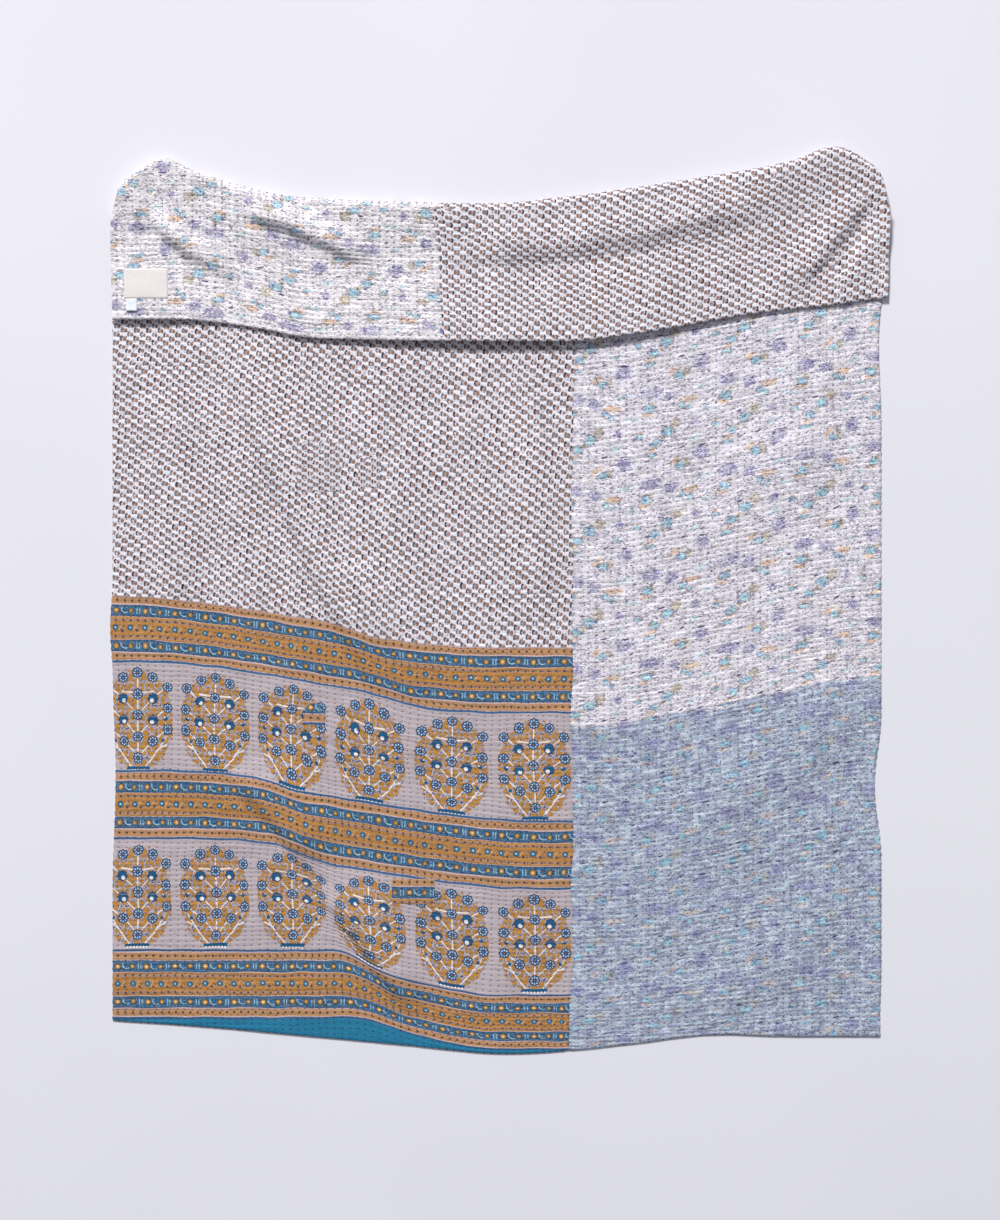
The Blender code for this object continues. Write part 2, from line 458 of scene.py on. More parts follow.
@dataclass(frozen=True)
class StitchWork:
    """The running stitch that holds the layers together and puckers them."""

    row_pitch: float = 0.0081
    stitch_pitch: float = 0.0123
    rows_between: int = 3
    columns_between: int = 3
    puff: float = 0.0014
    pinch: float = 0.0007
    wander: float = 0.0016
    row_wander: Ripple = Ripple(11, 0.120, 0.060)
    column_wander: Ripple = Ripple(12, 0.060, 0.110)
    pull: Ripple = Ripple(13, 0.034, 0.022)
    crinkle: Ripple = Ripple(14, 0.075, 0.016)
    swell: Ripple = Ripple(15, 0.110, 0.080)

    @property
    def row_step(self) -> float:
        """Distance between the rows of the mesh."""
        return self.row_pitch / self.rows_between

    @property
    def column_step(self) -> float:
        """Distance between the columns of the mesh."""
        return self.stitch_pitch / self.columns_between

    def row_start(self, row: Array) -> Array:
        """How far each row's stitches are shifted along it."""
        spread = np.sin(row * 12.9898) * 43758.5453
        return (spread - np.floor(spread) - 0.5) * 0.12 * self.stitch_pitch

    def relief(self, across: Array, along: Array, drag: float = 0.0) -> Array:
        """How far the puckered cloth stands off its mean surface.

        Args:
            across: Places across the quilt.
            along: Places along the stitching.
            drag: How far the crinkles lean up to the right.

        Returns:
            The relief at each place, around 0.
        """
        row = along / self.row_pitch
        puff = np.abs(np.sin(math.pi * row)) ** 0.8
        turn = (across - self.row_start(np.round(row))) / self.stitch_pitch
        pinch = (1.0 - puff) * np.cos(2.0 * math.pi * turn)
        uneven = 0.75 + 0.25 * self.swell.at(across, along)
        height = self.puff * uneven * (puff - 0.62) - self.pinch * pinch
        height += 0.00030 * self.crinkle.at(across, along - drag * across)
        return height + 0.00040 * self.swell.at(across + 0.3, along)


FORM = QuiltForm()
WEAVE = Weave()
STITCHES = StitchWork()


# ---------------------------------------------------------------------------
# Shader sketching: arithmetic on node sockets.
# ---------------------------------------------------------------------------


def ink(red: int, green: int, blue: int) -> tuple[float, float, float, float]:
    """A dye's colour as it looks, from 0 to 255 in each channel, made linear."""

    def linear(level: int) -> float:
        share = level / 255.0
        return share / 12.92 if share <= 0.04045 else ((share + 0.055) / 1.055) ** 2.4

    return (linear(red), linear(green), linear(blue), 1.0)


class Wire:
    """A socket that arithmetic can be done on. Each step adds a node."""

    def __init__(self, sketch: Sketch, socket: bpy.types.NodeSocket) -> None:
        """Hold the socket and the sketch that it belongs to."""
        self.sketch = sketch
        self.socket = socket

    def math(self, operation: str, *others: Wire | float) -> Wire:
        """One step of the Math node on this value."""
        return self.sketch.math(operation, self, *others)

    def __add__(self, other: Wire | float) -> Wire:
        """The sum."""
        return self.math("ADD", other)

    __radd__ = __add__

    def __sub__(self, other: Wire | float) -> Wire:
        """The difference."""
        return self.math("SUBTRACT", other)

    def __rsub__(self, other: float) -> Wire:
        """A number less this value."""
        return self.sketch.math("SUBTRACT", other, self)

    def __mul__(self, other: Wire | float) -> Wire:
        """The product."""
        return self.math("MULTIPLY", other)

    __rmul__ = __mul__

    def __truediv__(self, other: Wire | float) -> Wire:
        """The quotient."""
        return self.math("DIVIDE", other)

    def __abs__(self) -> Wire:
        """The size without its sign."""
        return self.math("ABSOLUTE")

    def wrapped(self, period: float) -> Wire:
        """The distance from the nearest multiple of a period."""
        return self.math("WRAP", 0.5 * period, -0.5 * period)

    def within(self, edge: float, blur: float = 0.3) -> Wire:
        """A mask that is 1 below an edge and 0 above it."""
        return self.sketch.ramp(self, edge - blur, edge + blur, 1.0, 0.0)

    def beyond(self, edge: float, blur: float = 0.3) -> Wire:
        """A mask that is 1 above an edge and 0 below it."""
        return self.sketch.ramp(self, edge - blur, edge + blur, 0.0, 1.0)

    def between(self, low: float, high: float, blur: float = 0.3) -> Wire:
        """A mask that is 1 from a low edge to a high one."""
        middle = 0.5 * (low + high)
        return abs(self - middle).within(0.5 * (high - low), blur)


class Sketch:
    """Draws on a node tree with short calls.

    Args:
        tree: The material's or group's node tree.
    """

    def __init__(self, tree: bpy.types.NodeTree) -> None:
        """Hold the tree to draw on."""
        self.tree = tree

    def feed(self, socket: bpy.types.NodeSocket, value: object) -> None:
        """Link a wire to a socket, or set its own value."""
        if isinstance(value, Wire):
            self.tree.links.new(value.socket, socket)
        else:
            socket.default_value = value

    def node(self, kind: str, inputs: dict[str | int, object], **settings: object) -> bpy.types.Node:
        """Add a node.

        Args:
            kind: The node's type.
            inputs: What each input is fed.
            settings: The node's own settings.

        Returns:
            The new node.
        """
        added = self.tree.nodes.new(kind)
        for name, value in settings.items():
            setattr(added, name, value)
        for key, value in inputs.items():
            self.feed(added.inputs[key], value)
        return added

    def math(self, operation: str, *values: Wire | float) -> Wire:
        """One Math node."""
        added = self.node("ShaderNodeMath", dict(enumerate(values)), operation=operation)
        return Wire(self, added.outputs[0])

    def ramp(self, value: Wire, low: float, high: float, start: float, end: float) -> Wire:
        """A value moved from one range to another and kept inside it."""
        inputs = {0: value, 1: low, 2: high, 3: start, 4: end}
        return Wire(self, self.node("ShaderNodeMapRange", inputs).outputs[0])

    def join(self, across: Wire | float, along: Wire | float) -> Wire:
        """A flat vector of two values."""
        return Wire(self, self.node("ShaderNodeCombineXYZ", {0: across, 1: along}).outputs[0])

    def split(self, vector: Wire) -> tuple[Wire, Wire]:
        """The first two values of a vector."""
        added = self.node("ShaderNodeSeparateXYZ", {0: vector})
        return Wire(self, added.outputs[0]), Wire(self, added.outputs[1])

    def vector(self, operation: str, *values: object) -> Wire:
        """One Vector Math node with a vector for its result."""
        added = self.node("ShaderNodeVectorMath", dict(enumerate(values)), operation=operation)
        return Wire(self, added.outputs[0])

    def length(self, across: Wire | float, along: Wire | float) -> Wire:
        """The length of a flat vector."""
        flat = self.join(across, along)
        added = self.node("ShaderNodeVectorMath", {0: flat}, operation="LENGTH")
        return Wire(self, added.outputs["Value"])

    def noise(self, vector: Wire, scale: float, detail: float = 1.0, rough: float = 0.5) -> Wire:
        """Smooth noise, mostly between 0.3 and 0.7."""
        inputs = {"Vector": vector, "Scale": scale, "Detail": detail, "Roughness": rough}
        added = self.node("ShaderNodeTexNoise", inputs, noise_dimensions="2D")
        return Wire(self, added.outputs[0])

    def cells(self, vector: Wire, randomness: float) -> tuple[Wire, Wire]:
        """Scattered spots: the distance to the nearest one and a value of its own."""
        inputs = {"Vector": vector, "Scale": 1.0, "Randomness": randomness}
        added = self.node("ShaderNodeTexVoronoi", inputs, voronoi_dimensions="2D")
        own = self.node("ShaderNodeSeparateXYZ", {0: Wire(self, added.outputs["Color"])})
        return Wire(self, added.outputs["Distance"]), Wire(self, own.outputs[0])

    def chance(self, vector: Wire) -> Wire:
        """A value of its own for each place in a lattice."""
        added = self.node("ShaderNodeTexWhiteNoise", {"Vector": vector}, noise_dimensions="2D")
        return Wire(self, added.outputs["Value"])

    def paint(self, mask: Wire | float, under: object, over: object) -> Wire:
        """One colour over another where a mask is."""
        inputs = {0: mask, 6: under, 7: over}
        added = self.node("ShaderNodeMix", inputs, data_type="RGBA", clamp_factor=True)
        return Wire(self, added.outputs[2])

    def shade(self, colour: Wire, by: Wire) -> Wire:
        """A colour darkened or lightened by a factor."""
        inputs = {0: 1.0, 6: colour, 7: by}
        added = self.node("ShaderNodeMix", inputs, data_type="RGBA", blend_type="MULTIPLY")
        return Wire(self, added.outputs[2])

    def most(self, *values: Wire) -> Wire:
        """The largest of some masks."""
        largest = values[0]
        for value in values[1:]:
            largest = largest.math("MAXIMUM", value)
        return largest

    def uv(self, name: str) -> Wire:
        """One of the piece's own UV maps."""
        return Wire(self, self.node("ShaderNodeUVMap", {}, uv_map=name).outputs[0])


class Group:
    """A node group with named inputs and outputs, built once.

    Args:
        name: The group's name.
        inputs: Its inputs' names and socket types.
        outputs: Its outputs' names and socket types.
    """

    def __init__(self, name: str, inputs: dict[str, str], outputs: dict[str, str]) -> None:
        """Make the empty group and its sockets."""
        self.tree = bpy.data.node_groups.new(name, "ShaderNodeTree")
        for direction, sockets in (("INPUT", inputs), ("OUTPUT", outputs)):
            for socket, kind in sockets.items():
                self.tree.interface.new_socket(socket, in_out=direction, socket_type=kind)
        self.sketch = Sketch(self.tree)
        self.start = self.tree.nodes.new("NodeGroupInput")
        self.end = self.tree.nodes.new("NodeGroupOutput")

    def given(self, name: str) -> Wire:
        """One of the group's inputs, seen from inside."""
        return Wire(self.sketch, self.start.outputs[name])

    def give(self, name: str, value: Wire) -> None:
        """Set one of the group's outputs."""
        self.sketch.feed(self.end.inputs[name], value)

    def place(self, sketch: Sketch, inputs: dict[str, object]) -> dict[str, Wire]:
        """Use the group in a material.

        Args:
            sketch: The sketch of the material's tree.
            inputs: What each input is fed.

        Returns:
            The group's outputs by name.
        """
        added = sketch.node("ShaderNodeGroup", {}, node_tree=self.tree)
        for name, value in inputs.items():
            sketch.feed(added.inputs[name], value)
        return {socket.name: Wire(sketch, socket) for socket in added.outputs}


FLOAT = "NodeSocketFloat"
COLOUR = "NodeSocketColor"
VECTOR = "NodeSocketVector"
PLACE = {"Across": FLOAT, "Along": FLOAT}


# ---------------------------------------------------------------------------
# Prints. Sizes inside the prints are in millimetres of cloth.
# ---------------------------------------------------------------------------


@dataclass(frozen=True)
class Bloom:
    """One soft oval blot of a print.

    Args:
        across: Its middle's place across the motif or the repeat.
        along: Its middle's place along it.
        width: Its half width.
        height: Its half height.
        lean: How steeply it climbs to the right.
    """

    across: float
    along: float
    width: float
    height: float
    lean: float = 0.0

    def reach(self, sketch: Sketch, right: Wire, up: Wire, period: Point | None = None) -> Wire:
        """How far a place is from the blot's middle.

        Args:
            sketch: The sketch to draw on.
            right: The place across.
            up: The place along.
            period: How often the blot repeats, if it does.

        Returns:
            The distance, which is 1 at the blot's edge.
        """
        off = right - self.across
        rise = up - self.along
        if period:
            off = off.wrapped(period[0])
            rise = rise.wrapped(period[1])
        if self.lean:
            rise = rise - off * self.lean
        return sketch.length(off / self.width, rise / self.height)


@dataclass(frozen=True)
class SmallPrint:
    """The small block print: a dark hook round a brown bud, in a half-drop lattice."""

    column_gap: float = 10.3
    drop: float = 13.6
    hook_oval: Bloom = Bloom(-2.5, 0.3, 2.7, 4.2)
    hook_cut: Bloom = Bloom(0.5, -0.5, 2.6, 2.6)
    bud_oval: Bloom = Bloom(2.5, -0.7, 3.0, 3.5)
    bud_core: Bloom = Bloom(3.1, -1.1, 1.4, 1.7)
    gap_oval: Bloom = Bloom(0.0, -0.1, 2.4, 3.2)
    ground: tuple = ink(236, 234, 244)
    hook: tuple = ink(46, 48, 64)
    bud: tuple = ink(160, 124, 108)
    rosy: tuple = ink(178, 142, 138)
    core: tuple = ink(122, 86, 76)
    filling: tuple = ink(158, 148, 142)

    def group(self) -> Group:
        """Build the print's node group, which gives its colour."""
        made = Group("Small block print", PLACE, {"Color": COLOUR})
        sketch = made.sketch
        across = made.given("Across")
        along = made.given("Along")
        jitter = sketch.noise(sketch.join(across, along), 0.31, 0.0) - 0.5
        off_column = across.wrapped(self.column_gap)
        column = (across - off_column) / self.column_gap
        half = (column * 0.5).math("FRACT") * self.drop
        off_row = (along + half).wrapped(self.drop)
        row = (along + half - off_row) / self.drop
        own = sketch.chance(sketch.join(column + 0.5, row + 0.5))
        other = (own * 7.31).math("FRACT")
        size = own * 0.16 + 0.94
        right = (off_column + jitter * 1.5) / size
        up = (off_row - jitter * 1.5) / size
        hook = self.hook_oval.reach(sketch, right, up).within(1.0, 0.14)
        hook = hook * self.hook_cut.reach(sketch, right, up).beyond(1.0, 0.16)
        bud = self.bud_oval.reach(sketch, right, up).within(1.0, 0.16)
        core = self.bud_core.reach(sketch, right, up).within(1.0, 0.35)
        gap = self.gap_oval.reach(sketch, right, up).within(1.0, 0.35)
        brown = sketch.paint(other.beyond(0.68, 0.04), self.bud, self.rosy)
        filled = gap * own.beyond(0.35, 0.15) * 0.8
        colour = sketch.paint(filled, self.ground, self.filling)
        colour = sketch.paint(bud * 0.94, colour, brown)
        colour = sketch.paint(core * 0.65, colour, self.core)
        colour = sketch.paint(hook * (other * 0.25 + 0.75), colour, self.hook)
        made.give("Color", colour)
        return made


@dataclass(frozen=True)
class FloralPrint:
    """The soft floral: aqua and peach flowers, lavender clusters and dark dashes."""

    repeat: Point = (127.5, 135.0)
    aqua_blooms: tuple[Bloom, ...] = (
        Bloom(9.0, 97.0, 5.5, 5.5),
        Bloom(20.0, 91.0, 5.0, 5.0),
        Bloom(79.0, 98.0, 10.5, 6.5),
        Bloom(62.8, 58.0, 7.0, 4.0),
        Bloom(90.0, 45.0, 9.5, 6.5),
        Bloom(82.0, 28.0, 10.5, 3.4),
        Bloom(111.0, 60.0, 11.0, 7.5),
        Bloom(5.0, 6.0, 9.0, 6.0),
    )
    peach_blooms: tuple[Bloom, ...] = (
        Bloom(22.0, 104.0, 15.0, 4.5),
        Bloom(76.0, 90.0, 10.0, 3.6),
        Bloom(85.0, 36.0, 11.0, 3.0, 0.45),
        Bloom(122.0, 14.0, 10.0, 4.0, 0.5),
        Bloom(63.0, 63.0, 5.0, 2.0),
    )
    tan_blooms: tuple[Bloom, ...] = (
        Bloom(126.0, 70.0, 10.0, 8.0),
        Bloom(15.0, 9.0, 7.0, 7.0),
        Bloom(86.0, 104.0, 6.0, 4.0),
        Bloom(102.0, 51.0, 4.0, 4.0),
    )
    lavender_blooms: tuple[Bloom, ...] = (
        Bloom(40.0, 20.0, 13.0, 10.5),
        Bloom(85.0, 121.0, 19.0, 9.0),
        Bloom(119.0, 112.0, 11.0, 8.5),
        Bloom(30.0, 66.0, 8.0, 6.0),
    )
    pale_blooms: tuple[Bloom, ...] = (
        Bloom(41.0, 119.0, 14.0, 3.5, 0.2),
        Bloom(52.0, 84.0, 12.0, 3.0, -0.2),
        Bloom(28.0, 45.0, 12.0, 3.5, 0.2),
    )
    dashes: tuple[Bloom, ...] = (
        Bloom(101.0, 70.0, 5.5, 1.6),
        Bloom(8.0, 34.0, 6.0, 1.7, 0.2),
        Bloom(40.0, 31.0, 8.0, 1.3),
        Bloom(58.0, 110.0, 3.5, 1.4),
        Bloom(52.0, 4.0, 3.0, 1.3),
    )
    aqua: tuple = ink(146, 214, 228)
    deep_aqua: tuple = ink(74, 162, 206)
    peach: tuple = ink(228, 194, 160)
    tan: tuple = ink(190, 178, 146)
    lavender: tuple = ink(142, 140, 186)
    dash: tuple = ink(58, 50, 108)
    scribble: tuple = ink(92, 82, 126)
    brown: tuple = ink(150, 112, 104)

    def inside(self, sketch: Sketch, place: tuple[Wire, Wire], blooms: tuple[Bloom, ...]) -> Wire:
        """How far inside the nearest of some blooms a place is, 0 at its edge."""
        nearest = None
        for bloom in blooms:
            far = bloom.reach(sketch, *place, self.repeat)
            nearest = far if nearest is None else nearest.math("MINIMUM", far)
        return 1.0 - nearest

    def group(self) -> Group:
        """Build the print's node group, which gives its colour over a ground."""
        inputs = {**PLACE, "Ground": COLOUR, "Strength": FLOAT}
        made = Group("Soft floral print", inputs, {"Color": COLOUR})
        sketch = made.sketch
        strength = made.given("Strength")
        across, along = place = made.given("Across"), made.given("Along")
        flat = sketch.join(across, along)
        ragged = sketch.noise(flat, 0.17, 3.0, 0.7)
        fine = sketch.noise(sketch.join(across * 0.26, along * 0.60), 1.0, 2.0, 0.6)
        lines = sketch.noise(sketch.join(across * 0.085, along * 0.24), 1.0, 3.0, 0.65)
        broad = sketch.noise(flat, 0.04, 1.0)
        torn = (ragged - 0.5) * 1.5 + (lines - 0.5) * 1.8
        colour = made.given("Ground")
        pale = (self.inside(sketch, place, self.pale_blooms) + torn * 0.6).beyond(0.1, 0.2)
        colour = sketch.paint(pale * 0.35 * strength, colour, self.aqua)
        lavender = (self.inside(sketch, place, self.lavender_blooms) + torn * 0.7).beyond(0.05, 0.15)
        lavender = lavender * fine.beyond(0.44, 0.06) * (broad + 0.45)
        colour = sketch.paint(lavender * 0.85, colour, self.lavender)
        tan = (self.inside(sketch, place, self.tan_blooms) + torn * 0.7).beyond(0.05, 0.12)
        colour = sketch.paint(tan * fine.beyond(0.42, 0.06) * strength * 0.85, colour, self.tan)
        peach = (self.inside(sketch, place, self.peach_blooms) + torn * 0.7).beyond(0.02, 0.12)
        colour = sketch.paint(peach * fine.beyond(0.40, 0.06) * strength * 0.9, colour, self.peach)
        inside = self.inside(sketch, place, self.aqua_blooms) + torn * 0.7
        aqua = inside.beyond(0.08, 0.12) * fine.beyond(0.40, 0.06)
        blue = sketch.paint(lines.beyond(0.52, 0.02) * 0.8, self.aqua, self.deep_aqua)
        colour = sketch.paint(aqua * (strength * 0.4 + 0.5) * 0.85, colour, blue)
        rim = abs(inside - 0.02).within(0.13, 0.06) * fine.beyond(0.46, 0.04)
        colour = sketch.paint(rim * strength * 0.75, colour, self.brown)
        strokes = sketch.noise(sketch.join(across * 0.19, along * 0.52), 1.0, 2.0, 0.65)
        marks = sketch.most(strokes.beyond(0.595, 0.02), lines.beyond(0.625, 0.02))
        colour = sketch.paint(marks * broad.beyond(0.36, 0.12) * 0.72, colour, self.scribble)
        dash = (self.inside(sketch, place, self.dashes) + torn * 0.6).beyond(0.15, 0.12)
        colour = sketch.paint(dash * 0.85, colour, self.dash)
        made.give("Color", colour)
        return made


@dataclass(frozen=True)
class BorderPrint:
    """A border: two blue bands either side of a wide gold one, with dotted edges.

    Every band is placed by its distance from the border's middle line.
    """

    flower_gap: float = 24.7
    dot_gap: float = 12.35
    gold_half: float = 18.5
    blue_from: float = 20.0
    blue_to: float = 38.6
    dotted_from: float = 41.0
    dotted_to: float = 52.0
    line_from: float = 53.8
    line_to: float = 57.4
    pale: tuple = ink(205, 186, 190)
    rose: tuple = ink(176, 140, 132)
    gold: tuple = ink(192, 134, 42)
    blue: tuple = ink(36, 106, 146)
    navy: tuple = ink(30, 62, 102)
    line: tuple = ink(54, 98, 142)
    dark: tuple = ink(52, 62, 58)
    cream: tuple = ink(236, 214, 170)
    ice: tuple = ink(176, 208, 220)

    def group(self) -> Group:
        """Build the print's node group: its colour, and a mask of where it is."""
        made = Group("Border print", PLACE, {"Color": COLOUR, "Mask": FLOAT})
        sketch = made.sketch
        across = made.given("Across")
        down = made.given("Along")
        place = sketch.join(across, down)
        worn = sketch.noise(place, 0.35, 2.0, 0.7)
        away = abs(down + (worn - 0.5) * 1.2)
        side = down.math("SIGN")
        colour = sketch.paint(worn.between(0.46, 0.75, 0.05) * 0.5, self.pale, self.rose)
        colour = self.gold_band(sketch, colour, across, down, away, worn)
        colour = self.blue_band(sketch, colour, across, down - side * 29.3, away)
        dotted = away.between(self.dotted_from, self.dotted_to)
        lower = down + 5.5 - side * 46.5
        colour = sketch.paint(dotted * 0.8, colour, self.gold)
        scuffs = (worn + lower * 0.012).within(0.56, 0.04) * dotted * 0.6
        colour = sketch.paint(scuffs, colour, self.rose)
        off_dot = across.wrapped(self.dot_gap)
        dots = sketch.length(off_dot, lower - 5.2).within(2.1, 0.5)
        flecks = sketch.length((across + 6.2).wrapped(self.dot_gap), lower - 3.6).within(1.2, 0.4)
        colour = sketch.paint(flecks * dotted * 0.7, colour, self.gold)
        colour = sketch.paint(dots * dotted * 0.9, colour, self.dark)
        line = away.between(self.line_from, self.line_to)
        colour = sketch.paint(line, colour, self.line)
        made.give("Color", colour)
        made.give("Mask", away.within(self.line_to))
        return made

    def gold_band(
        self, sketch: Sketch, colour: Wire, across: Wire, down: Wire, away: Wire, worn: Wire
    ) -> Wire:
        """The wide gold band in the middle, with its row of blue flowers."""
        band = away.within(self.gold_half)
        colour = sketch.paint(band, colour, self.gold)
        rows = away.between(10.9, 16.2, 0.6)
        colour = sketch.paint(rows * 0.85, colour, self.rose)
        patches = band * away.within(9.0, 1.0) * worn.beyond(0.50, 0.04)
        colour = sketch.paint(patches * 0.55, colour, self.rose)
        stains = band * worn.within(0.40, 0.03)
        colour = sketch.paint(stains * 0.5, colour, self.dark)
        off_dot = across.wrapped(self.dot_gap)
        dots = sketch.length(off_dot, away - 13.6).within(1.8, 0.5)
        flecks = sketch.length((across + 6.2).wrapped(self.dot_gap), away - 13.2).within(1.3, 0.4)
        colour = sketch.paint(flecks * 0.8, colour, self.gold)
        colour = sketch.paint(dots * 0.9, colour, self.dark)
        off_flower = across.wrapped(self.flower_gap)
        far = sketch.length(off_flower, down + 1.0)
        colour = sketch.paint(far.within(5.4, 0.5) * 0.55, colour, self.dark)
        colour = sketch.paint(far.within(4.4, 0.4), colour, self.blue)
        colour = sketch.paint(far.within(1.7, 0.5), colour, self.ice)
        off_bud = (across + 14.0).wrapped(self.flower_gap)
        bud = sketch.length(off_bud, down - 4.0).within(2.1, 0.4)
        colour = sketch.paint(bud * 0.9, colour, self.navy)
        leaf = abs(off_bud * 0.8 + down * 0.5 + 2.6).within(0.8, 0.4) * abs(down + 1.0).within(4.5)
        return sketch.paint(leaf * 0.35, colour, self.cream)

    def blue_band(
        self, sketch: Sketch, colour: Wire, across: Wire, down: Wire, away: Wire
    ) -> Wire:
        """One of the two blue bands, with gold flowers, curls and tulips."""
        band = away.between(self.blue_from, self.blue_to)
        mottled = sketch.noise(sketch.join(across, away), 0.22, 2.0, 0.6)
        blue = sketch.paint(mottled.beyond(0.52, 0.05) * 0.5, self.blue, self.navy)
        colour = sketch.paint(band, colour, blue)
        pale = sketch.noise(sketch.join(across, away), 0.36, 2.0, 0.7).beyond(0.56, 0.03)
        colour = sketch.paint(band * pale * 0.3, colour, self.pale)
        edge = abs(away - 0.5 * (self.blue_from + self.blue_to)).beyond(8.3, 0.3)
        colour = sketch.paint(edge * band * 0.75, colour, self.navy)
        off_flower = across.wrapped(self.flower_gap)
        period = 2.0 * self.flower_gap
        off_pair = across.wrapped(period)
        off_curl = (across - 0.5 * self.flower_gap).wrapped(period)
        off_tulip = (across + 0.5 * self.flower_gap).wrapped(period)
        curl = abs(sketch.length(off_curl - 2.6, down + 2.6) - 6.6).within(0.9, 0.4)
        curl = curl * (off_curl * 0.7 - down).within(2.4, 0.8) * abs(off_curl).within(6.5, 0.4)
        tulip = abs(abs(off_tulip) - 2.2).within(0.8, 0.4) * abs(down).within(4.6, 0.5)
        bud = sketch.length(off_curl + 2.0, down - 4.6).within(1.9, 0.4)
        colour = sketch.paint(bud, colour, self.dark)
        colour = sketch.paint(sketch.most(curl, tulip) * band * 0.8, colour, self.ice)
        big = abs(off_pair).within(0.25 * period, 0.5)
        far = sketch.length(off_flower, down) - big * 0.9
        colour = sketch.paint(far.within(4.9, 0.5) * 0.7, colour, self.dark)
        colour = sketch.paint(far.within(3.4, 0.5), colour, self.gold)
        return sketch.paint(far.within(1.1, 0.5), colour, self.cream)


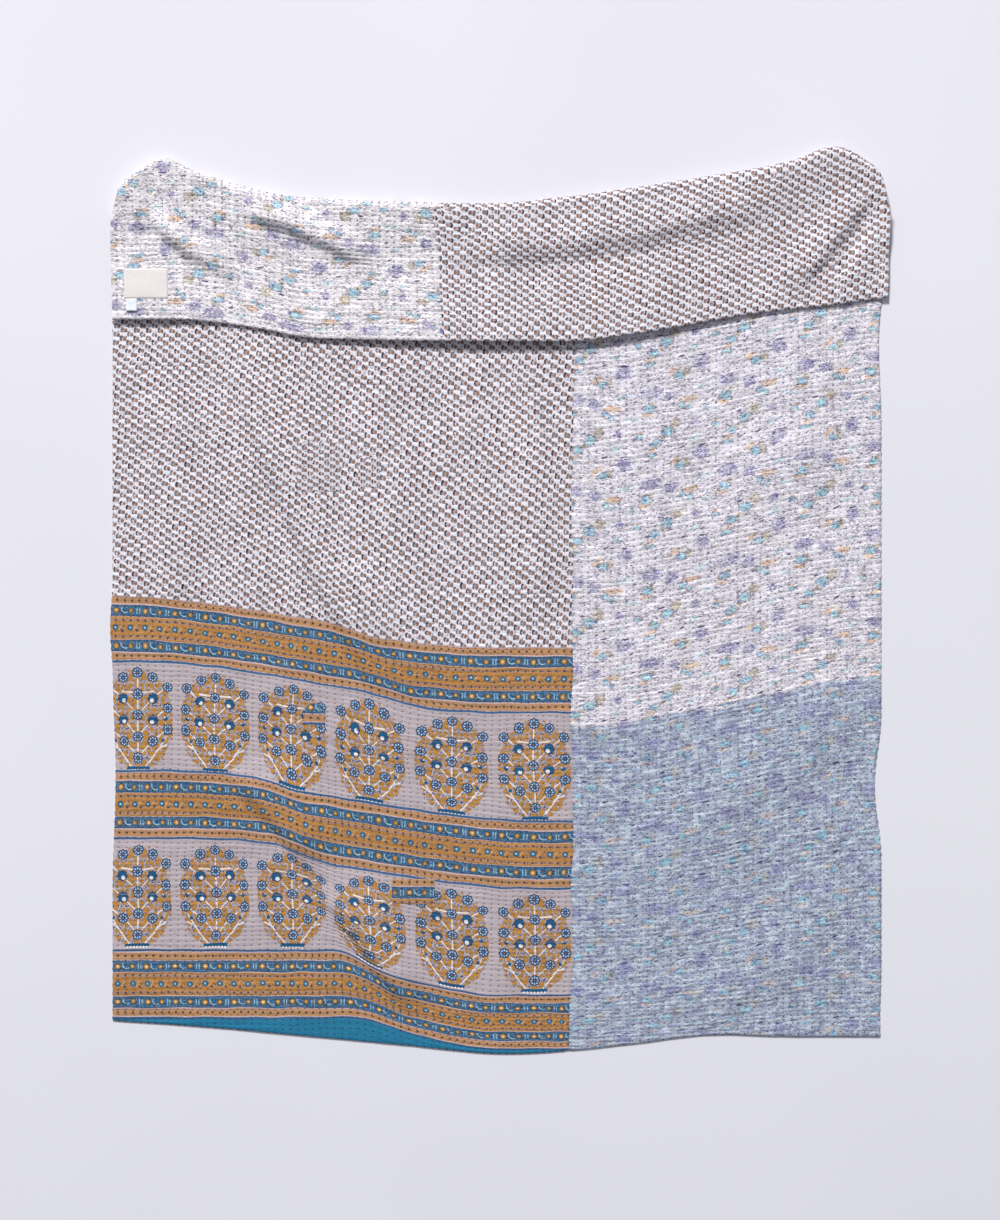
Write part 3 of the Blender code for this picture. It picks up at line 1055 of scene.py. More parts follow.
@dataclass(frozen=True)
class BushPrint:
    """A flowering bush: rosettes in levels on forked stems, in gold leaves.

    Its flowers stand in three columns each side of the middle, one level further
    down in each, and the levels climb outwards along the stems.
    """

    spacing: float = 132.0
    column_gap: float = 24.7
    level_gap: float = 35.1
    climb: float = 31.7
    climb_less: float = 4.1
    lowest_level: float = 4.0
    flower: float = 8.6
    half_width: float = 61.0
    middle: float = 80.0
    half_height: float = 88.0
    leaf_size: float = 9.8
    bowl_middle: float = 97.0
    bowl_width: float = 58.0
    bowl_height: float = 63.0
    foot: float = 157.0
    gold: tuple = ink(192, 138, 58)
    brown: tuple = ink(104, 70, 60)
    white: tuple = ink(238, 232, 232)
    blue: tuple = ink(62, 106, 150)
    deep: tuple = ink(26, 92, 136)
    navy: tuple = ink(44, 58, 98)
    ice: tuple = ink(196, 222, 238)
    rust: tuple = ink(168, 122, 110)

    def group(self) -> Group:
        """Build the print's node group, which gives its colour over a ground."""
        made = Group("Bush print", {**PLACE, "Ground": COLOUR}, {"Color": COLOUR})
        sketch = made.sketch
        down = made.given("Along")
        off = made.given("Across").wrapped(self.spacing)
        out = abs(off)
        colour = self.leaves(sketch, made.given("Ground"), off, out, down)
        colour = self.stems(sketch, colour, out, down)
        colour = self.flowers(sketch, colour, out, down)
        made.give("Color", colour)
        return made

    def climbed(self, column: Wire) -> Wire:
        """How far the stems have climbed at a column, or between two."""
        return column * self.climb - column * column * self.climb_less

    def leaves(self, sketch: Sketch, ground: Wire, off: Wire, out: Wire, down: Wire) -> Wire:
        """The gold leaves that fill the bush's outline."""
        lean = (down - self.foot) * 0.004 + 1.0
        spread = sketch.join(off / self.leaf_size * 1.12 * (2.0 - lean), down / self.leaf_size * 1.05)
        near, own = sketch.cells(spread, 0.72)
        outline = sketch.length(out / self.half_width, (down - self.middle) / self.half_height)
        shape = (outline + (own - 0.5) * 0.10).within(0.97, 0.02)
        waist = (down - 12.0) * 0.012 + (out / self.half_width) * 0.6
        lower = (down - self.bowl_middle).math("MAXIMUM", 0.0)
        bowl = sketch.length(out / self.bowl_width, lower / self.bowl_height).within(1.0, 0.02)
        shape = shape * waist.beyond(-0.5, 0.02) * bowl
        leaf = (near + own * 0.06).within(0.42, 0.03)
        rim = (near + own * 0.06).between(0.40, 0.52, 0.03)
        colour = sketch.paint(rim * shape * 0.75, ground, self.brown)
        dots = near.beyond(0.66, 0.03) * own.beyond(0.4, 0.1)
        colour = sketch.paint(dots * shape * 0.8, colour, self.navy)
        return sketch.paint(leaf * shape, colour, self.gold)

    def stems(self, sketch: Sketch, colour: Wire, out: Wire, down: Wire) -> Wire:
        """The white stems: up the middle, out to each column, and two low branches."""
        column = (out / self.column_gap).math("MINIMUM", 2.0)
        level = (down + self.climbed(column)) / self.level_gap
        off_level = level.wrapped(1.0) * self.level_gap
        forks = abs(off_level).within(1.3, 0.4) * level.between(1.6, 4.4, 0.05)
        forks = forks * out.within(2.0 * self.column_gap, 0.5)
        trunk = out.within(1.1, 0.4) * down.between(0.0, 150.0, 0.5)
        arm = abs(down - 33.0 + out * 0.10).within(1.2, 0.4) * out.within(27.0, 0.5)
        past = out - 12.0
        low = abs(down - 155.0 + past + past * past * 0.012).within(1.9, 0.5)
        low = low * out.between(13.0, 47.0, 0.5)
        hook = abs(down - 126.0 + (out - 34.0) * 0.5).within(1.3, 0.4) * out.between(32.0, 48.0)
        drawn = sketch.most(forks, trunk, arm, low, hook)
        return sketch.paint(drawn * 0.95, colour, self.white)

    def flowers(self, sketch: Sketch, colour: Wire, out: Wire, down: Wire) -> Wire:
        """The rosettes, the four open flowers, the buds and the foot of the bush."""
        column = (out / self.column_gap).math("ROUND").math("MINIMUM", 2.0)
        climbed = self.climbed(column)
        right = out - column * self.column_gap
        level = ((down + climbed) / self.level_gap).math("ROUND")
        level = level.math("MAXIMUM", column).math("MINIMUM", self.lowest_level)
        below = down + climbed - level * self.level_gap
        far = sketch.length(right, below)
        turn = below.math("ARCTAN2", right)
        petals = (turn * 8.0).math("COSINE")
        edge = far - petals * 0.7
        is_open = column.between(0.5, 1.5, 0.01) * level.between(1.5, 3.5, 0.01)
        colour = sketch.paint(edge.within(self.flower, 0.4), colour, self.navy)
        body = sketch.paint(is_open, self.blue, self.deep)
        colour = sketch.paint(edge.within(self.flower - 1.5, 0.5), colour, body)
        beads = (abs(far - 5.3) - petals * 1.3).within(0.2, 0.5) * (1.0 - is_open)
        colour = sketch.paint(beads, colour, self.ice)
        heart = far.within(2.9, 0.4) * (1.0 - is_open)
        colour = sketch.paint(heart, colour, self.navy)
        eye = far.within(1.4, 0.4) * (1.0 - is_open)
        colour = sketch.paint(eye, colour, self.rust)
        gap = sketch.length(right + 1.8, below - 3.2).within(3.4, 0.5) * is_open
        colour = sketch.paint(gap, colour, self.white)
        upper_bud = sketch.length(out - 46.0, down - 75.0).within(3.8, 0.4)
        lower_bud = sketch.length(out - 41.0, down - 112.0).within(3.0, 0.4)
        colour = sketch.paint(sketch.most(upper_bud, lower_bud), colour, self.deep)
        bud_eye = sketch.length(out - 44.0, down - 73.0).within(1.5, 0.4)
        colour = sketch.paint(bud_eye, colour, self.white)
        foot = abs(down - self.foot).within(2.8) * out.within(21.0, 0.5)
        colour = sketch.paint(foot, colour, self.deep)
        beads_off = out.wrapped(5.6)
        beads = sketch.length(beads_off, down - self.foot - 3.6).within(1.7) * out.within(19.0)
        return sketch.paint(beads, colour, self.white)


@dataclass(frozen=True)
class QuiltedCotton:
    """What the stitching does to any of the prints: pits, wrinkles, a patchy worn tone, and painted
    shade in the pits, along the row grooves and on the wrinkles.
    """

    stitch_pitch_mm: float = 12.3
    row_pitch_mm: float = 8.1
    pit_radius: float = 1.15
    wrinkle_height: float = 0.00030

    def group(self) -> Group:
        """Build the node group: a tone to multiply by, which holds the painted shade as well as the
        patchy tone, a height and a roughness.
        """
        outputs = {"ToneAndPaintedShade": FLOAT, "Height": FLOAT, "Roughness": FLOAT}
        inputs = {"Stitch": VECTOR, "Cloth": VECTOR, "Contrast": FLOAT}
        made = Group("Quilted cotton", inputs, outputs)
        sketch = made.sketch
        turn, row = sketch.split(made.given("Stitch"))
        off_stitch = turn.wrapped(1.0) * self.stitch_pitch_mm
        off_row = row.wrapped(1.0) * self.row_pitch_mm
        pit = sketch.length(off_stitch * 0.8, off_row).within(self.pit_radius, 0.6)
        groove = abs(off_row).within(1.1, 0.9)
        cloth = made.given("Cloth")
        across, _ = sketch.split(cloth)
        sewn = row * self.row_pitch_mm
        wrinkle = sketch.noise(sketch.join(across * 0.11, sewn * 0.42), 1.0, 2.0, 0.6)
        crush = sketch.noise(sketch.join(across * 0.035, sewn * 0.13), 1.0, 1.0, 0.5)
        patchy = sketch.noise(cloth, 0.012, 2.0, 0.6)
        weave = sketch.noise(cloth, 2.2, 1.0, 0.6)
        # Painted shade and light: the wrinkle noise, which also raises the bump, and the broader
        # crush noise lighten and darken the colour where light would fall on the wrinkles.
        painted_wrinkle_shade = (wrinkle - 0.5) + (crush - 0.5) * 0.6
        tone = painted_wrinkle_shade * made.given("Contrast") + (patchy - 0.5) * 0.20 + (weave - 0.5) * 0.10
        tone = tone + 1.0
        # Painted shade: darker round each stitch in its pit. Darker along each row's groove, partly
        # painted shade and partly dirt.
        tone = tone * (1.0 - pit * 0.30) * (1.0 - groove * 0.07)
        height = (wrinkle - 0.5) * 1.6 - pit * 0.8 + (weave - 0.5) * 0.22
        made.give("ToneAndPaintedShade", tone)
        made.give("Height", height)
        made.give("Roughness", (weave - 0.5) * 0.12 + 0.86)
        return made


SMALL_PRINT = SmallPrint().group()
FLORAL_PRINT = FloralPrint().group()
BORDER_PRINT = BorderPrint().group()
BUSH_PRINT = BushPrint().group()
QUILTED_COTTON = QuiltedCotton().group()


# ---------------------------------------------------------------------------
# Finishes. Each one paints a cotton from the print coordinates of its panel.
# ---------------------------------------------------------------------------


@dataclass(frozen=True)
class Cotton:
    """A quilted cotton: a painted colour, toned and roughened by the stitching, and darkened by its
    painted shade.
    """

    name: str
    bump: float = 0.00035
    sheen: float = 0.15
    # How strongly the wrinkles' painted shade and light show in the colour.
    wrinkle_shade_strength: float = 0.35

    def paint(self, sketch: Sketch, across: Wire, along: Wire) -> Wire:
        """The printed colour at a place in the cloth, in millimetres."""
        raise NotImplementedError

    def material(self) -> bpy.types.Material:
        """Build the material.

        Returns:
            The finished material.
        """
        made = bpy.data.materials.new(self.name)
        made.use_nodes = True
        sketch = Sketch(made.node_tree)
        cloth = sketch.vector("MULTIPLY", sketch.uv("cloth"), (1000.0, 1000.0, 1.0))
        across, along = sketch.split(cloth)
        colour = self.paint(sketch, across, along)
        sewing = {"Stitch": sketch.uv("stitch"), "Cloth": cloth, "Contrast": self.wrinkle_shade_strength}
        quilting = QUILTED_COTTON.place(sketch, sewing)
        shader = made.node_tree.nodes["Principled BSDF"]
        # The base colour carries the stitching's painted shade and light.
        sketch.feed(shader.inputs["Base Color"], sketch.shade(colour, quilting["ToneAndPaintedShade"]))
        sketch.feed(shader.inputs["Roughness"], quilting["Roughness"])
        bump = {"Strength": 1.0, "Distance": self.bump, "Height": quilting["Height"]}
        raised = sketch.node("ShaderNodeBump", bump)
        sketch.tree.links.new(raised.outputs["Normal"], shader.inputs["Normal"])
        shader.inputs["Specular IOR Level"].default_value = 0.25
        shader.inputs["Sheen Weight"].default_value = self.sheen
        shader.inputs["Sheen Roughness"].default_value = 0.5
        return made


@dataclass(frozen=True)
class FaceBlockPrint(Cotton):
    """The face's left panel: small print above, borders and bushes below."""

    name: str = "block_printed_cotton"
    lean: float = 0.08
    field_foot: float = 699.0
    border_middles: tuple[float, ...] = (645.2, 353.7, 58.0)
    bush_top: float = 571.4
    bush_rows_apart: float = 292.0
    rows_part: float = 353.7
    hem_strip: float = 1.0
    bush_middles: tuple[float, ...] = (-724.0, -596.0, -467.5, -341.0, -214.0, -77.5, 58.5, 195.0)
    ground: tuple = ink(190, 178, 184)
    turquoise: tuple = ink(34, 122, 160)

    def paint(self, sketch: Sketch, across: Wire, along: Wire) -> Wire:
        """Small print, then borders and bushes by their distance along the cloth."""
        leant = across - along * self.lean
        field = SMALL_PRINT.place(sketch, {"Across": leant, "Along": along})["Color"]
        ground = sketch.paint(0.0, self.ground, self.ground)
        lower_row = along.within(self.rows_part, 0.1)
        down = self.bush_top - along - lower_row * self.bush_rows_apart
        printed = self.printed_across(sketch, across)
        places = {"Across": printed, "Along": down, "Ground": ground}
        bushes = BUSH_PRINT.place(sketch, places)["Color"]
        colour = sketch.paint(along.beyond(self.field_foot), bushes, field)
        first, second, third = self.border_middles
        middle = along.beyond(0.5 * (first + second), 1.0) * (first - second) + second
        middle = middle - along.within(0.5 * (second + third), 1.0) * (second - third)
        places = {"Across": printed, "Along": middle - along}
        border = BORDER_PRINT.place(sketch, places)
        inside = border["Mask"] * along.within(self.field_foot) * along.beyond(self.hem_strip)
        colour = sketch.paint(inside, colour, border["Color"])
        return sketch.paint(along.within(self.hem_strip), colour, self.turquoise)

    def printed_across(self, sketch: Sketch, across: Wire) -> Wire:
        """The place in a row of bushes, which were printed at uneven distances."""
        spacing = BushPrint().spacing
        steps = zip(self.bush_middles, self.bush_middles[1:])
        parts = [sketch.ramp(across, left, right, 0.0, spacing) for left, right in steps]
        return sum(parts[1:], parts[0])


@dataclass(frozen=True)
class FaceFloral(Cotton):
    """The face's right panel: the soft floral, on a bluer ground in its lower part."""

    name: str = "floral_cotton"
    wrinkle_shade_strength: float = 1.1
    change: float = 567.0
    shift: Point = (-38.3, 0.0)
    pale: tuple = ink(232, 228, 236)
    blue: tuple = ink(194, 206, 218)
    dusk: tuple = ink(138, 146, 182)
    navy: tuple = ink(52, 58, 122)

    def paint(self, sketch: Sketch, across: Wire, along: Wire) -> Wire:
        """The floral over a ground that turns blue below a soft, uneven line."""
        flat = sketch.join(across, along)
        uneven = sketch.noise(flat, 0.022, 2.0, 0.6)
        streaks = sketch.noise(sketch.join(across * 0.05, along * 0.12), 1.0, 4.0, 0.62)
        low = (along + (uneven - 0.5) * 22.0).within(self.change, 2.0)
        ground = sketch.paint(low, self.pale, self.blue)
        ground = sketch.paint(low * streaks.beyond(0.50, 0.08) * 0.62, ground, self.dusk)
        near, _ = sketch.cells(sketch.join(across / 15.0, along / 15.0), 1.0)
        ground = sketch.paint(low * near.within(0.085, 0.03) * 0.8, ground, self.navy)
        places = {"Across": across + self.shift[0], "Along": along + self.shift[1]}
        strength = 1.0 - low * 0.45
        inputs = {**places, "Ground": ground, "Strength": strength}
        return FLORAL_PRINT.place(sketch, inputs)["Color"]


@dataclass(frozen=True)
class FlapFloral(Cotton):
    """The reverse's floral panel, which lies upside down on the flap."""

    name: str = "floral_cotton_reverse"
    wrinkle_shade_strength: float = 1.1
    shift: Point = (0.0, 0.0)
    pale: tuple = ink(240, 236, 240)

    def paint(self, sketch: Sketch, across: Wire, along: Wire) -> Wire:
        """The floral, turned round."""
        places = {"Across": self.shift[0] - across, "Along": self.shift[1] - along}
        ground = sketch.paint(0.0, self.pale, self.pale)
        inputs = {**places, "Ground": ground, "Strength": 1.0}
        return FLORAL_PRINT.place(sketch, inputs)["Color"]


@dataclass(frozen=True)
class FlapSmallPrint(Cotton):
    """The reverse's small print panel, which lies upside down on the flap."""

    name: str = "small_print_cotton_reverse"
    lean: float = 0.03

    def paint(self, sketch: Sketch, across: Wire, along: Wire) -> Wire:
        """The small print, turned round."""
        leant = along * self.lean - across
        return SMALL_PRINT.place(sketch, {"Across": leant, "Along": 0.0 - along})["Color"]


@dataclass(frozen=True)
class PatchSmallPrint(Cotton):
    """A mending patch in the small print, out of step with the cloth round it."""

    name: str = "patch_small_print"
    shift: Point = (4.1, 5.3)
    grow: float = 1.12

    def paint(self, sketch: Sketch, across: Wire, along: Wire) -> Wire:
        """The small print, moved and a little closer."""
        places = {
            "Across": (across + self.shift[0]) * self.grow,
            "Along": (along + self.shift[1]) * self.grow,
        }
        colour = SMALL_PRINT.place(sketch, places)["Color"]
        return sketch.paint(0.12, colour, ink(120, 104, 104))


@dataclass(frozen=True)
class PatchBorder(Cotton):
    """A mending patch cut from a border.

    Args:
        top: How far below the border's middle the patch's middle was cut.
    """

    name: str = "patch_border"
    middle: float = 0.0

    def paint(self, sketch: Sketch, across: Wire, along: Wire) -> Wire:
        """The border's colour, on a straight grain of its own."""
        places = {"Across": across + 6.0, "Along": self.middle - along}
        return BORDER_PRINT.place(sketch, places)["Color"]


@dataclass(frozen=True)
class Tape:
    """A plain woven tape or satin for what is sewn on."""

    name: str
    colour: tuple
    tint: tuple
    roughness: float
    sheen: float
    tint_width: float = 0.0

    def material(self) -> bpy.types.Material:
        """Build the material.

        Returns:
            The finished material.
        """
        made = bpy.data.materials.new(self.name)
        made.use_nodes = True
        sketch = Sketch(made.node_tree)
        cloth = sketch.vector("MULTIPLY", sketch.uv("cloth"), (1000.0, 1000.0, 1.0))
        across, along = sketch.split(cloth)
        weave = sketch.noise(sketch.join(across * 2.0, along * 5.0), 1.0, 1.0)
        cloudy = sketch.noise(cloth, 0.12, 2.0)
        colour = sketch.paint(cloudy * 0.5, self.colour, self.tint)
        if self.tint_width:
            square = sketch.most(abs(across), abs(along)).within(self.tint_width, 0.6)
            colour = sketch.paint(square * 0.5, colour, self.tint)
        shader = made.node_tree.nodes["Principled BSDF"]
        sketch.feed(shader.inputs["Base Color"], sketch.shade(colour, weave * 0.10 + 0.95))
        sketch.feed(shader.inputs["Roughness"], weave * 0.1 + self.roughness)
        raised = sketch.node("ShaderNodeBump", {"Strength": 1.0, "Distance": 0.0001, "Height": weave})
        sketch.tree.links.new(raised.outputs["Normal"], shader.inputs["Normal"])
        shader.inputs["Sheen Weight"].default_value = self.sheen
        return made


@dataclass(frozen=True)
class Thread:
    """The running stitch's thread: dark cotton, a little uneven in colour."""

    name: str = "stitching_thread"
    dark: tuple = ink(46, 44, 62)
    faded: tuple = ink(82, 76, 92)

    def material(self) -> bpy.types.Material:
        """Build the material."""
        made = bpy.data.materials.new(self.name)
        made.use_nodes = True
        sketch = Sketch(made.node_tree)
        place = Wire(sketch, sketch.node("ShaderNodeTexCoord", {}).outputs["Object"])
        uneven = sketch.noise(place, 90.0, 2.0)
        shader = made.node_tree.nodes["Principled BSDF"]
        colour = sketch.paint(uneven.beyond(0.5, 0.15), self.dark, self.faded)
        sketch.feed(shader.inputs["Base Color"], colour)
        sketch.feed(shader.inputs["Roughness"], uneven * 0.2 + 0.75)
        return made


# ---------------------------------------------------------------------------
# Cloth: grids of points laid on the folded sheet.
# ---------------------------------------------------------------------------


class Side(Enum):
    """The two sides of the quilt."""

    FACE = "face"
    REVERSE = "reverse"


@dataclass(frozen=True)
class Seam:
    """A seam between two panels of one side.

    Args:
        across: Where it lies across the quilt.
        waves: How it strays from there.
    """

    across: float
    waves: tuple[EdgeWave, ...]
    groove: float = 0.0012
    groove_width: float = 0.0045

    def shift(self, across: Array, along: Array) -> Array:
        """How far the seam's waves move points near it."""
        return sum(wave.at(across, along) for wave in self.waves)

    def depth(self, across: Array) -> Array:
        """How far the cloth dips into the seam."""
        return self.groove * hump(across - self.across, self.groove_width)


FACE_SEAM = Seam(
    0.122,
    (
        EdgeWave(0.122, 0.405, 0.090, 0.003, 0.050),
        EdgeWave(0.122, -0.190, 0.090, -0.006, 0.050),
        EdgeWave(0.122, -0.460, 0.050, -0.004, 0.050),
        EdgeWave(0.122, -0.720, 0.130, -0.007, 0.050),
    ),
)
REVERSE_SEAM = Seam(
    -0.100,
    (
        EdgeWave(-0.100, 0.680, 0.130, -0.014, 0.070),
        EdgeWave(-0.100, 0.420, 0.110, 0.009, 0.070),
    ),
)


@dataclass(frozen=True)
class Stretch:
    """Some rows of a panel that lie in one zone of the sheet.

    Args:
        zone: The zone.
        across: Place across the quilt of each point.
        value: Its place along the quilt, or its share of the turn in the fold.
        cloth: Its distance along the cloth, which the print follows.
        sewn: The same distance, which the rows of stitches follow.
        from_end: How far it is from the panel's ends.
        pucker: How strongly the stitching shows, from 0 to 1.
    """

    zone: Zone
    across: Array
    value: Array
    cloth: Array
    sewn: Array
    from_end: Array
    pucker: Array


@dataclass
class Grid:
    """A sheet as a grid of points, with what is drawn on it.

    Args:
        points: Where each point is.
        normals: Which way the sheet faces there.
        cloth: Its place in the cloth, which the print follows.
        sewn: Its place in the stitching: along the rows and across them.
        facing_up: Whether the grid's rows and columns already give outward faces.
    """

    points: Array
    normals: Array
    cloth: Array
    sewn: Array
    facing_up: bool = True

    def build(self, name: str, finish: bpy.types.Material) -> bpy.types.Object:
        """Make the mesh object.

        Args:
            name: The piece's name.
            finish: Its material.

        Returns:
            The new object, at the origin.
        """
        rows, columns = self.points.shape[:2]
        corner = (np.arange(rows - 1)[:, None] * columns + np.arange(columns - 1)).ravel()
        faces = np.stack([corner, corner + 1, corner + columns + 1, corner + columns], axis=1)
        if not self.facing_up:
            faces = faces[:, ::-1]
        mesh = bpy.data.meshes.new(name)
        mesh.from_pydata(self.points.reshape(-1, 3).tolist(), [], faces.tolist())
        turns = (self.sewn[..., 0] - self.row_starts()) / STITCHES.stitch_pitch
        stitch = np.stack([turns, self.sewn[..., 1] / STITCHES.row_pitch], axis=-1)
        self.add_map(mesh, "cloth", self.cloth)
        self.add_map(mesh, "stitch", stitch)
        mesh.materials.append(finish)
        mesh.polygons.foreach_set("use_smooth", [True] * len(mesh.polygons))
        mesh.update()
        piece = bpy.data.objects.new(name, mesh)
        bpy.context.scene.collection.objects.link(piece)
        return piece

    def row_starts(self) -> Array:
        """How far the nearest row of stitches is shifted, at each point."""
        return STITCHES.row_start(np.round(self.sewn[..., 1] / STITCHES.row_pitch))

    @staticmethod
    def add_map(mesh: bpy.types.Mesh, name: str, values: Array) -> None:
        """Add a UV map with a value for each point of the grid."""
        layer = mesh.uv_layers.new(name=name)
        order = np.empty(len(mesh.loops), dtype=np.int32)
        mesh.loops.foreach_get("vertex_index", order)
        flat = values.reshape(-1, 2)[order].astype(np.float32)
        layer.data.foreach_set("uv", flat.ravel())

    def along_rows(self, levels: Array) -> tuple[Array, Array]:
        """Points and normals on chosen rows of stitches, at every column.

        Args:
            levels: The rows' places in the stitching.

        Returns:
            The points and the normals, a row of them for each level.
        """
        columns = self.points.shape[1]
        points = np.empty((len(levels), columns, 3))
        normals = np.empty_like(points)
        for column in range(columns):
            heights = self.sewn[:, column, 1]
            order = np.argsort(heights)
            for axis in range(3):
                line = self.points[order, column, axis]
                points[:, column, axis] = np.interp(levels, heights[order], line)
                line = self.normals[order, column, axis]
                normals[:, column, axis] = np.interp(levels, heights[order], line)
        return points, normals


RIM = (0.0, 0.0008, 0.0022)
FULL = 0.0034
BODY_MEET = 0.0012
FLAP_MEET = 0.0028


@dataclass(frozen=True)
class Panel:
    """One cotton panel of the quilt, on its face or on its reverse.

    Args:
        name: The piece's name.
        side: Which side of the quilt it is on.
        left: Its left edge.
        right: Its right edge.
        seam: The seam at one of them.
        strength: How strongly it puckers.
        drag: How far its crinkles lean up to the right.
    """

    name: str
    side: Side
    left: float
    right: float
    seam: Seam
    strength: float = 1.0
    drag: float = 0.0

    def columns(self) -> Array:
        """Where the grid's columns stand, closer at the two edges."""
        step = STITCHES.column_step
        rim = np.array(RIM)
        first = math.ceil((self.left + 0.0035) / step)
        last = math.floor((self.right - 0.0035) / step)
        inner = np.arange(first, last + 1) * step
        return np.concatenate([self.left + rim, inner, (self.right - rim)[::-1]])

    def from_side(self, across: Array) -> Array:
        """How far points are from the quilt's own side edge on this panel."""
        if self.seam.across == self.right:
            return across - self.left
        return self.right - across

    def edge_scallop(self, columns: Array, along: Array) -> Array:
        """The small sideways scallops that the stitching draws in at the side edge."""
        away = self.from_side(columns)
        outward = -1.0 if self.seam.across == self.right else 1.0
        return outward * 0.0007 * hump(away, 0.012) * np.cos(2.0 * math.pi * along / 0.0135)

    def hidden_rows(self, columns: Array, start: Array, sewn: Array) -> list[Stretch]:
        """The face's rows that nobody sees: under the flap, in the fold and back.

        Args:
            columns: Where the columns stand.
            start: Where along the quilt the stitched rows stop.
            sewn: Where in the stitching they stop.

        Returns:
            A stretch for each zone.
        """
        centre = FORM.fold_centre(columns)
        shares = (np.arange(1, 13) / 12.0)[:, None]
        along = start + (centre - start) * shares
        across = np.broadcast_to(columns, along.shape)
        cloth = sewn + along - start
        far = np.full(along.shape, 1.0)
        fade = np.broadcast_to(0.5 * (1.0 - shares), along.shape)
        under = Stretch(Zone.BODY, across, along, cloth, cloth, far, fade)
        turns = np.broadcast_to((np.arange(1, 7) / 6.0)[:, None], (6, len(columns)))
        across = np.broadcast_to(columns, turns.shape)
        turned = cloth[-1] + 0.030 * turns
        fold = Stretch(Zone.FOLD, across, turns, turned, turned, np.full(turns.shape, 1.0), turns * 0)
        edge = FORM.flap_edge.at(columns)
        shares = (np.arange(1, 14) / 14.0)[:, None]
        away = np.concatenate([(centre - edge) * (1.0 - shares), self.rim_rows(columns)[::-1]])
        cloth = turned[-1] + (centre - edge) - away
        across = np.broadcast_to(columns, away.shape)
        back = Stretch(Zone.FLAP, across, edge + away, cloth, cloth, away, away * 0.0)
        return [under, fold, back]

    @staticmethod
    def rim_rows(columns: Array) -> Array:
        """Distances of the rim's rows from an end, the same in every column."""
        return np.broadcast_to(np.array(RIM)[:, None], (len(RIM), len(columns)))

    def face_rows(self, columns: Array) -> list[Stretch]:
        """The face's rows, from the hem to the flap's free edge."""
        hem = FORM.hem.at(np.minimum(columns, FORM.body_right))
        start = WEAVE.distance(columns, hem[:, None])[:, 0]
        step = STITCHES.row_step
        first = math.ceil((start.max() + 0.005) / step)
        rim = start + self.rim_rows(columns)
        shares = (np.arange(1, 8) / 8.0)[:, None]
        strip = rim[-1] + (first * step - rim[-1]) * shares
        regular = np.arange(first, math.floor(1.17 / step))[:, None] * step
        regular = np.broadcast_to(regular, (len(regular), len(columns)))
        sewn = np.concatenate([rim, strip, regular])
        across = np.broadcast_to(columns, sewn.shape)
        from_hem = sewn - start
        free = np.minimum(from_hem, self.from_side(across))
        loose = np.clip(free / 0.020, 0.0, 1.0)
        cloth = sewn + STITCHES.wander * loose * STITCHES.row_wander.at(across, sewn)
        moved = across + STITCHES.wander * loose * STITCHES.column_wander.at(across, sewn)
        along = WEAVE.height(moved, cloth)
        along = along + 0.0007 * loose * STITCHES.pull.at(across, sewn)
        moved = moved + self.seam.shift(across, along) + self.edge_scallop(across, along)
        pucker = np.clip(free / 0.006, 0.3, 1.0)
        shown = Stretch(Zone.BODY, moved, along, cloth, sewn, from_hem, pucker)
        return [shown, *self.hidden_rows(columns, along[-1], sewn[-1])]

    def reverse_rows(self, columns: Array) -> list[Stretch]:
        """The reverse's rows, from the hem to the flap's free edge."""
        hem = FORM.hem.at(np.minimum(columns, FORM.body_right))
        centre = FORM.fold_centre(columns)
        edge = FORM.flap_edge.at(columns)
        shares = (np.arange(1, 57) / 56.0)[:, None]
        from_hem = self.rim_rows(columns)
        from_hem = np.concatenate([from_hem, from_hem[-1] + (centre - hem - RIM[-1]) * shares])
        across = np.broadcast_to(columns, from_hem.shape)
        cloth = 1.60 - from_hem
        under = Stretch(Zone.BODY, across, hem + from_hem, cloth, cloth, from_hem, from_hem * 0)
        step = STITCHES.row_step
        regular = np.arange(2, 57)[:, None] * step
        regular = np.broadcast_to(regular, (len(regular), len(columns)))
        shares = (np.arange(1, 31) / 30.0)[:, None]
        upper = regular[-1] + (centre - edge - regular[-1]) * shares
        away = np.concatenate([self.rim_rows(columns), regular, upper])[::-1]
        turns = np.broadcast_to((np.arange(1, 14) / 14.0)[:, None], (13, len(columns)))
        across = np.broadcast_to(columns, turns.shape)
        cloth = away[0] + 0.040 * (1.0 - turns)
        fold = Stretch(
            Zone.FOLD, across, turns, cloth, cloth, np.full(turns.shape, 1.0), turns
        )
        across = np.broadcast_to(columns, away.shape)
        free = np.minimum(away, self.from_side(across))
        loose = np.clip(free / 0.020, 0.0, 1.0)
        along = edge + away + STITCHES.wander * loose * STITCHES.row_wander.at(across, away + 2.0)
        along = along + 0.0007 * loose * STITCHES.pull.at(across, away + 2.0)
        teeth = np.cos(2.0 * math.pi * across / 0.0123)
        along = along - 0.0008 * hump(away, 0.008) * teeth
        moved = across + STITCHES.wander * loose * STITCHES.column_wander.at(across, away + 2.0)
        moved = moved + self.seam.shift(across, along)
        pucker = np.clip(free / 0.006, 0.3, 1.0)
        flap = Stretch(Zone.FLAP, moved, along, away, away, away, pucker)
        return [under, fold, flap]

